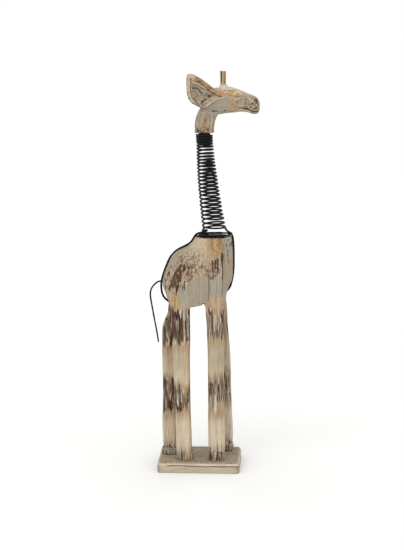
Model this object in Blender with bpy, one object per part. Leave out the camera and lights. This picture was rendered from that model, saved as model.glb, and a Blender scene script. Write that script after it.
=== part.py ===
"""Carved wooden giraffe statue with a coiled wire neck, modelled in metres, +Z up.

The giraffe looks along +X. The origin is the centre of the base plate's underside, and the wires lie in the
plane y = 0. Carved wood comes from stacked outlines (lofts) joined by Booleans, wires are swept curves.
Every length below is in millimetres and is scaled by MM where geometry is made.
"""

import math

import bmesh
import bpy
from mathutils import Vector

MM = 0.001
GAP = 0.3  # clearance between pieces that touch on the real object

# ---- Base plate -------------------------------------------------------------------------------------------
BASE_LENGTH, BASE_DEPTH, BASE_THICK = 145.0, 95.0, 18.0
BASE_EDGE = 3.5  # eased upper edge
BASE_CORNER = 4.0

# ---- Carved body with its legs ----------------------------------------------------------------------------
FOOT_Z = BASE_THICK + GAP
TOP_Z = 405.0  # flat top of the shoulders, where the neck stands
# Torso outlines: height, rump ridge x, chest ridge x, half width, rump rounding, chest bevel.
TORSO = [
    (288, -53.5, 46.0, 31.0, 8, 3),
    (294, -55.5, 45.5, 32.2, 9, 4),
    (301, -58.5, 46.0, 32.4, 11, 5),
    (310, -62.0, 47.0, 32.4, 15, 7),
    (320, -64.0, 50.5, 32.2, 19, 11),
    (332, -62.5, 54.0, 32.0, 22, 15),
    (345, -58.5, 55.3, 31.8, 25, 17),
    (357, -54.0, 55.5, 31.3, 27, 17),
    (367, -48.5, 55.3, 30.6, 28, 17),
    (375, -41.5, 55.0, 29.8, 28, 17),
    (381, -34.5, 54.7, 28.8, 27, 17),
    (386, -25.5, 54.3, 27.6, 26, 17),
    (390, -16.5, 54.0, 26.5, 24, 17),
    (396, -12.0, 53.5, 24.8, 24, 18),
    (TOP_Z, -6.5, 52.0, 22.3, 26, 20),
]
# Legs: height, rear x, front x. The camera side is -Y, called right, as the giraffe's own right.
LEGS = {
    "hind_right": [(FOOT_Z, -40, -11.5), (62, -41, -13), (116, -42.5, -15), (160, -44, -16), (206, -46, -16),
                   (241, -47, -15), (268, -48, -15), (302, -49, -14)],
    "front_right": [(FOOT_Z, 15.5, 44), (44, 15, 44.5), (99, 14.5, 43.5), (162, 14, 43), (207, 13.5, 43),
                    (251, 12, 42.5), (274, 10.5, 42.5), (302, 8, 42)],
    "hind_left": [(FOOT_Z, -66.5, -39), (34, -66.5, -40), (80, -67, -39), (188, -67, -37), (238, -67, -36),
                  (250, -65.5, -35), (261, -60.5, -33), (271, -57, -32), (302, -54, -30)],
    "front_left": [(FOOT_Z, 31, 57.5), (63, 31, 57.5), (99, 31, 55.5), (135, 31, 54.5), (171, 30.5, 53.5),
                   (207, 29.5, 51.3), (242, 28, 48.3), (286, 25, 45.5), (302, 24, 43)],
}
LEG_Y = {"right": (-33.0, -7.5), "left": (4.0, 31.0)}
LEG_SPLAY = {"front_left": 14.0}  # how far a foot stands out to the left of its leg's top
LEG_TOP_Z = 302.0
SIDE_BULGE = 0.03  # the right side is cut a little fuller than the left
LEG_SQUARENESS = 3.0

# ---- Screws up through the base into the legs -------------------------------------------------------------
LEG_SCREWS = {"hind_right": (-26, -20), "front_right": (29.5, -20), "hind_left": (-52.5, 17.5), "front_left": (44, 31)}
SCREW_LENGTH, SCREW_R, SCREW_HEAD_R, SCREW_HEAD_H = 42.0, 1.9, 3.8, 3.0
SCREW_RECESS = 1.0  # the head stays clear of the table

# ---- Collar: ring and foot plate on the shoulders ---------------------------------------------------------
RING_X, RING_WIRE_R = 25.0, 1.5
RING_LENGTH_R, RING_DEPTH_R = 26.5, 20.3  # the oval ring's half sizes along and across the body
PLATE_X, PLATE_R, PLATE_THICK = 22.0, 17.5, 1.5
PLATE_SCREW_Y = 11.0
PLATE_SCREW_R, PLATE_SCREW_HEAD_R, PLATE_SCREW_HEAD_H, PLATE_SCREW_LENGTH = 1.4, 3.0, 1.6, 16.0

# ---- Neck coil --------------------------------------------------------------------------------------------
COIL_WIRE_R = 1.5
COIL_BOTTOM_Z, COIL_OPEN_TOP_Z, COIL_TOP_Z = 418.5, 563.0, 574.3
COIL_OPEN_TURNS, COIL_TIGHT_TURNS = 24, 3
COIL_BOTTOM_PITCH = 7.1  # rise of the lowest turn; the turns draw closer together upwards
COIL_BOTTOM_R, COIL_TOP_R = 19.0, 12.8  # mean radius of the turns
COIL_DROOP = 0.08  # how much lower each turn hangs on the right side, as a share of its radius
NECK_FOOT_X = 24.4  # neck axis above the collar
NECK_LEAN, NECK_CURVE = 0.165, 0.056  # the axis leans back and straightens upwards
COIL_STEPS = 15  # points per turn

# ---- Contour wires and tail, in the plane y = 0: x, z of the wire's axis ----------------------------------
BACK_WIRE_R, CHEST_WIRE_R, TAIL_R = 1.5, 1.4, 1.2
BACK_WIRE = [(1.5, 412.3), (-2.5, 410.6), (-7.0, 408.0), (-10.5, 403.0), (-14.5, 396.5), (-19.5, 391.3), (-28, 387.5),
             (-37, 383.8), (-44.5, 378), (-51.5, 369), (-57.2, 358), (-61.6, 346), (-65.3, 334), (-67.2, 324),
             (-67.6, 315), (-66.6, 307.5), (-64, 301), (-59.5, 296), (-55.5, 293), (-46, 288.8)]
CHEST_WIRE = [(46.5, 416.6), (49.5, 413.3), (54.0, 410.0), (56.6, 404), (57.2, 396), (57.9, 385), (58.3, 368),
              (58.2, 351), (57.2, 338), (55.2, 326), (52.6, 318.5), (48.5, 313), (38, 304.5)]
TAIL = [(-69.2, 326.5), (-73, 325.2), (-78.5, 320.5), (-83, 314.5), (-85.4, 307), (-85.2, 297), (-82.5, 282),
        (-79.2, 264), (-76, 247), (-73, 229), (-71.6, 220)]

# ---- Head -------------------------------------------------------------------------------------------------
# Skull and muzzle outlines: x, lowest z, highest z, half width.
SKULL = [
    (6, 616, 640, 11.0), (12, 609, 646, 16.0), (22, 607, 650.5, 19.0), (32, 608, 654, 20.0), (42, 610, 655.5, 20.0),
    (52, 611, 654.5, 19.0), (62, 612, 651, 17.0), (70, 613, 647, 14.8), (79, 612, 643.5, 12.8), (87, 609.5, 640.5, 12.2),
    (94, 610, 637, 11.2), (98, 612.5, 632, 8.6), (99.6, 616.5, 627, 4.5),
]
STUB_TOP_Z = 630.0
STUB = [(585, -8.8, 24, 15.5), (592, -9, 24.5, 15.8), (600, -8, 26, 16), (610, -5, 30, 15.5), (620, 0, 32, 14), (STUB_TOP_Z, 6, 30, 11)]
STUB_BOTTOM = ((-8.5, 577.0), (24.0, 580.0))  # the cut is a little out of square: lower at the back
EAR = [(-21, 674), (-21.5, 652), (-19.5, 639), (-14, 629.5), (-5, 623.5), (4, 620), (10, 621), (16, 626), (26, 634),
       (38, 640), (28, 649), (17, 656), (4, 666), (-8, 673), (-16, 676)]
EAR_ROOT = (38.0, 14.5)  # x and half distance between the ears where they leave the cheeks
EAR_FLARE = 0.19  # how fast the ears open outwards towards their tips
EAR_THICK, EAR_RIM, EAR_HOLLOW = 8.0, 3.6, 3.6
EYE = (61.5, 14.8, 642.5)
EYE_SIZE = (5.6, 3.2, 3.3)
HORN_X, HORN_Y = 38.3, 9.5
HORN_R, HORN_TOP_Z, HORN_SOCKET_Z = 4.8, 680.0, 643.0
PEG_X, PEG_R, PEG_BOTTOM_Z, PEG_TOP_Z = 7.2, 10.0, 558.0, 598.0

# ---- Finishes: base colour, roughness, metallic -----------------------------------------------------------
FINISHES = {
    "whitewashed_wood": ((0.42, 0.35, 0.25), 0.75, 0.0),
    "bare_dowel_wood": ((0.36, 0.24, 0.13), 0.7, 0.0),
    "black_wire": ((0.012, 0.012, 0.013), 0.45, 0.6),
    "screw_steel": ((0.42, 0.40, 0.36), 0.4, 1.0),
}


def clear_scene():
    for obj in list(bpy.data.objects):
        bpy.data.objects.remove(obj, do_unlink=True)


def material(finish):
    found = bpy.data.materials.get(finish)
    if found:
        return found
    colour, roughness, metallic = FINISHES[finish]
    made = bpy.data.materials.new(finish)
    made.use_nodes = True
    shader = made.node_tree.nodes["Principled BSDF"]
    shader.inputs["Base Color"].default_value = (*colour, 1.0)
    shader.inputs["Roughness"].default_value = roughness
    shader.inputs["Metallic"].default_value = metallic
    return made


def add_object(name, data, finish=None):
    obj = bpy.data.objects.new(name, data)
    bpy.context.scene.collection.objects.link(obj)
    if finish:
        data.materials.append(material(finish))
    else:  # a helper that only shapes its neighbours
        obj.hide_render = True
        obj.display_type = "WIRE"
    return obj


def mesh_object(name, mesh, finish=None, smooth_below=40):
    """An object from a bmesh, with its faces pointing out and only its sharp edges creased."""
    bmesh.ops.recalc_face_normals(mesh, faces=mesh.faces)
    data = bpy.data.meshes.new(name)
    mesh.to_mesh(data)
    mesh.free()
    data.shade_smooth()
    data.set_sharp_from_angle(angle=math.radians(smooth_below))
    return add_object(name, data, finish)


def loft(name, rings, finish=None):
    """A closed skin over rings that all have the same number of points, in millimetres."""
    mesh = bmesh.new()
    loops = [[mesh.verts.new(Vector(p) * MM) for p in ring] for ring in rings]
    count = len(rings[0])
    for low, high in zip(loops, loops[1:]):
        for i in range(count):
            j = (i + 1) % count
            mesh.faces.new((low[i], low[j], high[j], high[i]))
    mesh.faces.new(loops[0])
    mesh.faces.new(loops[-1])
    return mesh_object(name, mesh, finish)


def superellipse(half_a, half_b, power, count):
    """Points round a superellipse: power 2 is an ellipse, higher is squarer, 1 is a diamond."""
    points = []
    for i in range(count):
        angle = 2 * math.pi * i / count
        c, s = math.cos(angle), math.sin(angle)
        points.append((
            half_a * math.copysign(abs(c) ** (2 / power), c),
            half_b * math.copysign(abs(s) ** (2 / power), s),
        ))
    return points


def cylinder(name, x, y, profile, finish=None, sides=16):
    """A turned piece on a vertical axis: profile lists (radius, z) from the bottom to the top."""
    rings = []
    for radius, z in profile:
        rings.append([(x + a, y + b, z) for a, b in superellipse(radius, radius, 2, sides)])
    return loft(name, rings, finish)


def boolean(target, other, operation):
    modifier = target.modifiers.new(f"{operation.lower()} {other.name}", "BOOLEAN")
    modifier.object = other
    modifier.operation = operation
    modifier.solver = "EXACT"


def smooth_path(points, steps):
    """A Catmull-Rom curve through the points, with so many steps between each two."""
    knots = [Vector(p) for p in points]
    knots = [2 * knots[0] - knots[1], *knots, 2 * knots[-1] - knots[-2]]
    path = []
    for a, b, c, d in zip(knots, knots[1:], knots[2:], knots[3:]):
        for i in range(steps):
            t = i / steps
            path.append(0.5 * (2 * b + (c - a) * t + (2 * a - 5 * b + 4 * c - d) * t**2 + (3 * b - a - 3 * c + d) * t**3))
    path.append(knots[-2])
    return path


def wire(name, path, radius, finish="black_wire", resolution=2):
    """A round wire swept along a path in millimetres."""
    curve = bpy.data.curves.new(name, "CURVE")
    curve.dimensions = "3D"
    curve.bevel_depth = radius * MM
    curve.bevel_resolution = resolution
    curve.use_fill_caps = True
    spline = curve.splines.new("POLY")
    spline.points.add(len(path) - 1)
    for point, place in zip(spline.points, path):
        point.co = (*(Vector(place) * MM), 1.0)
    return add_object(name, curve, finish)


def flat_path(points, steps=3):
    """A smooth path in the plane y = 0 through (x, z) points."""
    return smooth_path([(x, 0.0, z) for x, z in points], steps)


# ---- Wooden pieces ----------------------------------------------------------------------------------------
def base_plate():
    half_x, half_y = BASE_LENGTH / 2, BASE_DEPTH / 2
    rings = []
    for inset, z in ((1.0, 0.0), (0.0, 1.5), (0.0, BASE_THICK - BASE_EDGE), (1.2, BASE_THICK - 1.0), (BASE_EDGE, BASE_THICK)):
        ring = []
        for sx, sy in ((1, 1), (-1, 1), (-1, -1), (1, -1)):
            corner_x, corner_y = sx * (half_x - BASE_CORNER), sy * (half_y - BASE_CORNER)
            first = math.atan2(sy, sx) - math.pi / 4
            for step in range(4):
                angle = first + step * math.pi / 6
                reach = BASE_CORNER - inset
                ring.append((corner_x + reach * math.cos(angle), corner_y + reach * math.sin(angle), z))
        rings.append(ring)
    plate = loft("base_plate", rings, "whitewashed_wood")
    for leg, (x, y) in LEG_SCREWS.items():
        hole_r = SCREW_R + GAP
        head_r = SCREW_HEAD_R + GAP
        head_top = SCREW_RECESS + SCREW_HEAD_H + GAP
        cutter = cylinder(f"cut_base_{leg}", x, y, [
            (head_r, -1.0), (head_r, SCREW_RECESS + GAP), (hole_r, head_top), (hole_r, BASE_THICK + 1.0),
        ])
        boolean(plate, cutter, "DIFFERENCE")
    return plate


def half_outline(rear, front, half_width, rump, chest, steps=4):
    """One side of a torso outline, from the rump ridge to the chest ridge, as (x, half width)."""
    chest_power = 1.35  # nearly a straight bevel
    points = []
    for i in range(steps + 1):
        angle = math.pi / 2 * i / steps
        points.append((rear + rump * (1 - math.cos(angle)), half_width * math.sin(angle)))
    for i in range(steps + 1):
        angle = math.pi / 2 * (1 - i / steps)
        across, along = math.sin(angle) ** (2 / chest_power), math.cos(angle) ** (2 / chest_power)
        points.append((front - chest * (1 - along), half_width * across))
    return points


def torso():
    rings = []
    for z, rear, front, half_width, rump, chest in TORSO:
        side = half_outline(rear, front, half_width, rump, chest)
        ring = [(x, -y * (1 + SIDE_BULGE), z) for x, y in side]
        ring += [(x, y * (1 - SIDE_BULGE), z) for x, y in reversed(side[1:-1])]
        rings.append(ring)
    return loft("body_with_legs", rings, "whitewashed_wood")


def leg(name):
    near_y, far_y = LEG_Y[name.split("_")[1]]
    rings = []
    for z, rear, front in LEGS[name]:
        centre_x, centre_y = (rear + front) / 2, (near_y + far_y) / 2
        centre_y += LEG_SPLAY.get(name, 0.0) * (LEG_TOP_Z - z) / (LEG_TOP_Z - FOOT_Z)
        outline = superellipse((front - rear) / 2, (far_y - near_y) / 2, LEG_SQUARENESS, 16)
        rings.append([(centre_x + a, centre_y + b, z) for a, b in outline])
    return loft(f"leg_{name}", rings)


def body_with_legs():
    body = torso()
    for name in LEGS:
        boolean(body, leg(name), "UNION")
    for name, (x, y) in LEG_SCREWS.items():
        pilot_r = SCREW_R + GAP
        top = SCREW_RECESS + SCREW_LENGTH + GAP
        boolean(body, cylinder(f"cut_pilot_{name}", x, y, [(pilot_r, FOOT_Z - 2), (pilot_r, top)], sides=12), "DIFFERENCE")
    for sign in (-1, 1):
        depth = TOP_Z - PLATE_SCREW_LENGTH + PLATE_THICK
        pilot = [(PLATE_SCREW_R + GAP, depth), (PLATE_SCREW_R + GAP, TOP_Z + 2)]
        boolean(body, cylinder(f"cut_collar_{sign}", PLATE_X, sign * PLATE_SCREW_Y, pilot, sides=10), "DIFFERENCE")
    # Sockets drilled for the ends of the two contour wires.
    for name, route, radius in (("back", BACK_WIRE, BACK_WIRE_R), ("chest", CHEST_WIRE, CHEST_WIRE_R)):
        (x0, z0), (x1, z1) = route[-2:]
        outside, inside = Vector((x0, 0, z0)), Vector((x1, 0, z1))
        inward = (inside - outside).normalized()
        rings = []
        for centre in (outside - inward * 4, inside + inward * 1.0):
            side = Vector((0, 1, 0))
            up = side.cross(inward)
            circle = superellipse(radius + GAP, radius + GAP, 2, 12)
            rings.append([centre + side * a + up * b for a, b in circle])
        boolean(body, loft(f"cut_{name}_wire", rings), "DIFFERENCE")
    return body


def ear_shell(sign):
    """A leaf-shaped ear with a raised rim; sign -1 is the giraffe's right."""
    mesh = bmesh.new()
    root_x, root_y = EAR_ROOT

    def place(x, z, depth):
        return Vector((x, sign * (root_y + (root_x - x) * EAR_FLARE - depth), z)) * MM

    outer = [mesh.verts.new(place(x, z, -EAR_THICK / 2)) for x, z in EAR]
    inner = [mesh.verts.new(place(x, z, EAR_THICK / 2)) for x, z in EAR]
    count = len(EAR)
    for i in range(count):
        j = (i + 1) % count
        mesh.faces.new((outer[i], outer[j], inner[j], inner[i]))
    mesh.faces.new(inner)
    open_face = mesh.faces.new(outer)
    bmesh.ops.recalc_face_normals(mesh, faces=mesh.faces)
    bmesh.ops.inset_region(mesh, faces=[open_face], thickness=EAR_RIM * MM)
    for vert in open_face.verts:
        vert.co.y -= sign * EAR_HOLLOW * MM
    return mesh_object(f"ear_{'left' if sign > 0 else 'right'}", mesh)


def eyeball(sign):
    mesh = bmesh.new()
    bmesh.ops.create_uvsphere(mesh, u_segments=14, v_segments=8, radius=1.0)
    x, y, z = EYE
    for vert in mesh.verts:
        vert.co = Vector((
            x + vert.co.x * EYE_SIZE[0], sign * y + vert.co.y * EYE_SIZE[1], z + vert.co.z * EYE_SIZE[2],
        )) * MM
    return mesh_object(f"eye_{'left' if sign > 0 else 'right'}", mesh)


def head_block():
    skull = []
    for x, low, high, half_width in SKULL:
        middle, half = (low + high) / 2, (high - low) / 2
        skull.append([(x, a, middle + b) for a, b in superellipse(half_width, half, 2.4, 20)])
    head = loft("head_block", skull, "whitewashed_wood")
    (rear_x, rear_z), (front_x, front_z) = STUB_BOTTOM
    stub = []
    bottom = []
    for a, b in superellipse((front_x - rear_x) / 2, STUB[0][3] - 0.8, 2.3, 20):
        share = (a + (front_x - rear_x) / 2) / (front_x - rear_x)
        bottom.append(((rear_x + front_x) / 2 + a, b, rear_z + share * (front_z - rear_z)))
    stub.append(bottom)
    for z, rear, front, half_width in STUB:
        centre = (rear + front) / 2
        stub.append([(centre + a, b, z) for a, b in superellipse((front - rear) / 2, half_width, 2.3, 20)])
    boolean(head, loft("neck_stub", stub), "UNION")
    for sign in (-1, 1):
        boolean(head, ear_shell(sign), "UNION")
        boolean(head, eyeball(sign), "UNION")
    for sign in (-1, 1):
        socket = [(HORN_R + GAP - 0.6, HORN_SOCKET_Z - GAP), (HORN_R + GAP, HORN_SOCKET_Z + 5), (HORN_R + GAP, 665)]
        boolean(head, cylinder(f"cut_horn_{sign}", HORN_X, sign * HORN_Y, socket), "DIFFERENCE")
    peg_hole = [(PEG_R + GAP, PEG_BOTTOM_Z), (PEG_R + GAP, PEG_TOP_Z + GAP)]
    boolean(head, cylinder("cut_peg", PEG_X, 0, peg_hole, sides=24), "DIFFERENCE")
    return head


def horns():
    for name, sign in (("horn_right", -1), ("horn_left", 1)):
        cylinder(name, HORN_X, sign * HORN_Y, [
            (HORN_R - 0.6, HORN_SOCKET_Z), (HORN_R, HORN_SOCKET_Z + 5), (HORN_R, 656), (HORN_R - 0.3, 664),
            (HORN_R, 677), (HORN_R - 0.4, HORN_TOP_Z),
        ], "whitewashed_wood")


def head_peg():
    cylinder("head_peg", PEG_X, 0, [
        (PEG_R - 1, PEG_BOTTOM_Z), (PEG_R, PEG_BOTTOM_Z + 1.5), (PEG_R, PEG_TOP_Z - 1.5), (PEG_R - 1, PEG_TOP_Z),
    ], "bare_dowel_wood", sides=24)


# ---- Metal pieces -----------------------------------------------------------------------------------------
def leg_screws():
    for name, (x, y) in LEG_SCREWS.items():
        bottom = SCREW_RECESS
        top = SCREW_RECESS + SCREW_LENGTH
        cylinder(f"leg_screw_{name}", x, y, [
            (SCREW_HEAD_R, bottom), (SCREW_HEAD_R, bottom + 0.4), (SCREW_R, bottom + SCREW_HEAD_H),
            (SCREW_R, top - 5), (0.4, top),
        ], "screw_steel", sides=12)


def neck_axis_x(z):
    rise = COIL_TOP_Z - COIL_BOTTOM_Z
    share = (z - COIL_BOTTOM_Z) / rise
    return NECK_FOOT_X - rise * (NECK_LEAN * share - NECK_CURVE * share**2)


def coil_radius(z):
    share = min(1.0, (z - COIL_BOTTOM_Z) / (COIL_OPEN_TOP_Z - COIL_BOTTOM_Z))
    return COIL_BOTTOM_R + (COIL_TOP_R - COIL_BOTTOM_R) * share


def neck_coil():
    """A left-handed coil: open turns from the shoulders up, then close turns wound round the peg."""
    path = []
    turns = COIL_OPEN_TURNS + COIL_TIGHT_TURNS
    mean_pitch = (COIL_OPEN_TOP_Z - COIL_BOTTOM_Z) / COIL_OPEN_TURNS
    closing = (COIL_BOTTOM_PITCH - mean_pitch) / COIL_OPEN_TURNS
    for i in range(turns * COIL_STEPS + 1):
        turn = i / COIL_STEPS
        if turn <= COIL_OPEN_TURNS:
            z = COIL_BOTTOM_Z + COIL_BOTTOM_PITCH * turn - closing * turn**2
        else:
            z = COIL_OPEN_TOP_Z + (COIL_TOP_Z - COIL_OPEN_TOP_Z) * (turn - COIL_OPEN_TURNS) / COIL_TIGHT_TURNS
        angle = math.pi - 2 * math.pi * turn
        radius = coil_radius(z)
        droop = COIL_DROOP * min(1.0, turn, (COIL_TOP_Z - z) / 30)
        path.append((
            neck_axis_x(z) + radius * math.cos(angle), radius * math.sin(angle), z + droop * radius * math.sin(angle),
        ))
    start = Vector(path[0])
    plate_top = TOP_Z + GAP + PLATE_THICK
    foot = Vector((start.x + 2.0, -7.0, plate_top + GAP + 0.2))
    path = [foot, foot + Vector((-0.6, 1.0, 4.0)), start + Vector((0.3, -3.2, -2.6)), *path]
    wire("neck_coil", path, COIL_WIRE_R, resolution=1)


def collar():
    ring_z = TOP_Z + GAP + RING_WIRE_R
    steps = 28
    mesh = bmesh.new()
    loops = []
    for i in range(steps):
        angle = 2 * math.pi * i / steps
        spoke = Vector((RING_LENGTH_R * math.cos(angle), RING_DEPTH_R * math.sin(angle), 0))
        centre = Vector((RING_X, 0, ring_z)) + spoke
        out = Vector((spoke.x / RING_LENGTH_R**2, spoke.y / RING_DEPTH_R**2, 0)).normalized()
        circle = superellipse(RING_WIRE_R, RING_WIRE_R, 2, 8)
        loops.append([mesh.verts.new((centre + out * a + Vector((0, 0, b))) * MM) for a, b in circle])
    for i in range(steps):
        low, high = loops[i], loops[(i + 1) % steps]
        for j in range(8):
            k = (j + 1) % 8
            mesh.faces.new((low[j], low[k], high[k], high[j]))
    mesh_object("collar_ring", mesh, "black_wire")
    plate_bottom = TOP_Z + GAP
    plate = cylinder("neck_foot_plate", PLATE_X, 0, [
        (PLATE_R, plate_bottom), (PLATE_R, plate_bottom + PLATE_THICK - 0.4), (PLATE_R - 0.4, plate_bottom + PLATE_THICK),
    ], "black_wire", sides=32)
    for name, sign in (("collar_screw_right", -1), ("collar_screw_left", 1)):
        y = sign * PLATE_SCREW_Y
        hole_r = PLATE_SCREW_R + GAP
        hole = cylinder(f"cut_plate_{name}", PLATE_X, y, [(hole_r, TOP_Z - 1), (hole_r, TOP_Z + 5)], sides=10)
        boolean(plate, hole, "DIFFERENCE")
        seat = plate_bottom + PLATE_THICK + GAP
        cylinder(name, PLATE_X, y, [
            (0.4, seat - PLATE_SCREW_LENGTH), (PLATE_SCREW_R, seat - PLATE_SCREW_LENGTH + 3), (PLATE_SCREW_R, seat),
            (PLATE_SCREW_HEAD_R, seat + 0.01), (PLATE_SCREW_HEAD_R, seat + 0.9), (1.6, seat + PLATE_SCREW_HEAD_H),
        ], "black_wire", sides=12)


def contour_wires():
    wire("back_wire", flat_path(BACK_WIRE), BACK_WIRE_R)
    wire("chest_wire", flat_path(CHEST_WIRE), CHEST_WIRE_R)
    wire("tail_wire", flat_path(TAIL), TAIL_R)


clear_scene()
base_plate()
body_with_legs()
leg_screws()
collar()
contour_wires()
neck_coil()
head_peg()
head_block()
horns()
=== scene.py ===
import math
from functools import partial

import bmesh
import bpy
import numpy as np
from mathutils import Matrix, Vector


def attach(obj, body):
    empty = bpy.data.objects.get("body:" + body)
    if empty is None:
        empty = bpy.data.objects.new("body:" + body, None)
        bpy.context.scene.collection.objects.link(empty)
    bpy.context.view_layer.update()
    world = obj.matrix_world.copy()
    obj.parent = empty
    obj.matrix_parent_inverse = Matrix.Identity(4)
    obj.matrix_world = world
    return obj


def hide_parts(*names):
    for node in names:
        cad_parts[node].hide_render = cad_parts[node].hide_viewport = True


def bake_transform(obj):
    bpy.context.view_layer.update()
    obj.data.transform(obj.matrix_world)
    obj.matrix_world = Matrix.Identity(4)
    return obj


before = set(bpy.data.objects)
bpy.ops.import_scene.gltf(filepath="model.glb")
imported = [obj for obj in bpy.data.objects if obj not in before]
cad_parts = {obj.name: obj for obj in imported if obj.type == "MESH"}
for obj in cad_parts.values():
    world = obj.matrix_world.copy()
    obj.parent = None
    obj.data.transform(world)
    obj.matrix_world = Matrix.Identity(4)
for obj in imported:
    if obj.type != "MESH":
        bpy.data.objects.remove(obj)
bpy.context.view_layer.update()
MM = 0.001


# ---- Noise and outline helpers, all in millimetres ----
def lattice(ix, iy, iz, seed):
    """A repeatable number from 0 to 1 at each point of a whole-number lattice."""
    h = (ix * 374761393 + iy * 668265263 + iz * 1103515245 + seed * 1274126177) & 0xFFFFFFFF
    h = ((h ^ (h >> 13)) * 1274126177) & 0xFFFFFFFF
    h = h ^ (h >> 16)
    return (h & 0xFFFFFF) / 0xFFFFFF


def noise(points, size, seed=0):
    """Smooth noise from -1 to 1 whose blobs have this size along x, y and z."""
    q = points / np.broadcast_to(np.asarray(size, float), (3,))
    cell = np.floor(q).astype(np.int64)
    f = q - cell
    f = f * f * f * (f * (f * 6 - 15) + 10)
    total = 0
    for dx in (0, 1):
        for dy in (0, 1):
            for dz in (0, 1):
                weight = 1
                for axis, step in enumerate((dx, dy, dz)):
                    weight = weight * (f[:, axis] if step else 1 - f[:, axis])
                total = total + weight * lattice(cell[:, 0] + dx, cell[:, 1] + dy, cell[:, 2] + dz, seed)
    return 2 * total - 1


def layered(points, size, octaves=3, seed=0):
    """Noise from -1 to 1 with finer octaves laid over it."""
    size = np.broadcast_to(np.asarray(size, float), (3,))
    total, weight = 0, 0
    for i in range(octaves):
        total = total + noise(points, size / 2**i, seed + 31 * i) / 2**i
        weight += 1 / 2**i
    return total / weight


def ridged(points, size, seed=0, octaves=2):
    """Noise with sharp valleys, from 0 in a valley to 1."""
    return np.abs(layered(points, size, octaves, seed)) ** 0.7


def valleys(points, size, seed, power=2):
    """Narrow grooves, 1 along their bottoms and near 0 between them."""
    return (1 - ridged(points, size, seed)) ** power


def unit(v):
    """Limited to the range from 0 to 1."""
    return np.clip(v, 0, 1)


def ramp(low, high, v):
    """0 up to low, 1 from high on, smooth between; high may be below low."""
    t = unit((v - low) / (high - low))
    return t * t * (3 - 2 * t)


def bell(v, width):
    """1 where v is 0, falling smoothly to 0 a few widths away."""
    return np.exp(-((v / width) ** 2))


def line_distance(x, z, line):
    """Distance from each point to an open line of (x, z) points."""
    best = np.full(len(x), 1e9)
    for (ax, az), (bx, bz) in zip(line, line[1:]):
        dx, dz = bx - ax, bz - az
        t = unit(((x - ax) * dx + (z - az) * dz) / (dx * dx + dz * dz))
        best = np.minimum(best, np.hypot(x - ax - t * dx, z - az - t * dz))
    return best


def inside_depth(x, z, outline):
    """Distance to a closed outline, positive inside it and negative outside."""
    inside = np.zeros(len(x), bool)
    for (ax, az), (bx, bz) in zip(outline, outline[1:] + outline[:1]):
        crosses = (az > z) != (bz > z)
        if az != bz:
            inside ^= crosses & (x < (bx - ax) * (z - az) / (bz - az) + ax)
    return np.where(inside, 1, -1) * line_distance(x, z, outline + outline[:1])


def blob(x, z, cx, cz, rx, rz):
    """A soft oval spot, 1 in its middle."""
    return np.exp(-(((x - cx) / rx) ** 2) - ((z - cz) / rz) ** 2)


def superellipse(half_a, half_b, power, count):
    """A closed outline between an oval (power 2) and a box (high power)."""
    points = []
    for i in range(count):
        angle = 2 * math.pi * i / count
        c, s = math.cos(angle), math.sin(angle)
        points.append((
            half_a * math.copysign(abs(c) ** (2 / power), c),
            half_b * math.copysign(abs(s) ** (2 / power), s),
        ))
    return points


def smooth_path(points, steps):
    """A Catmull-Rom curve through the points, with so many steps between each two."""
    knots = [np.array(p, float) for p in points]
    knots = [2 * knots[0] - knots[1], *knots, 2 * knots[-1] - knots[-2]]
    path = []
    for a, b, c, d in zip(knots, knots[1:], knots[2:], knots[3:]):
        for i in range(steps):
            t = i / steps
            second, third = 2 * a - 5 * b + 4 * c - d, 3 * b - a - 3 * c + d
            path.append(0.5 * (2 * b + (c - a) * t + second * t**2 + third * t**3))
    path.append(knots[-2])
    return np.array(path)


def table(rows, step):
    """The rows of a profile table, smoothly filled in at an even spacing of their first column."""
    rows = np.array(rows, float)
    at = np.linspace(rows[0, 0], rows[-1, 0], max(2, round((rows[-1, 0] - rows[0, 0]) / step)))
    path = smooth_path(rows, 6)
    return np.column_stack([at] + [np.interp(at, path[:, 0], path[:, i]) for i in range(1, rows.shape[1])])


# ---- Mesh helpers ----
def place(name, data):
    obj = bpy.data.objects.new(name, data)
    bpy.context.scene.collection.objects.link(obj)
    return obj


def mesh_object(name, mesh, smooth=False):
    bmesh.ops.recalc_face_normals(mesh, faces=mesh.faces)
    data = bpy.data.meshes.new(name)
    mesh.to_mesh(data)
    mesh.free()
    if smooth:
        data.shade_smooth()
    return place(name, data)


def bridge(mesh, low, high):
    """Four-sided faces between two closed loops of vertices."""
    for quad in zip(low, low[1:] + low[:1], high[1:] + high[:1], high):
        mesh.faces.new(quad)


def add_loft(mesh, rings):
    """A closed skin over a stack of rings of points."""
    loops = [[mesh.verts.new(Vector(p) * MM) for p in ring] for ring in rings]
    for low, high in zip(loops, loops[1:]):
        bridge(mesh, low, high)
    mesh.faces.new(loops[0])
    mesh.faces.new(loops[-1])


def upright_bore(name, x, y, profile, sides=24):
    """A round cutter from rows of radius and height."""
    mesh = bmesh.new()
    add_loft(mesh, [[(x + a, y + b, z) for a, b in superellipse(r, r, 2, sides)] for r, z in profile])
    return mesh_object(name, mesh)


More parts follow.
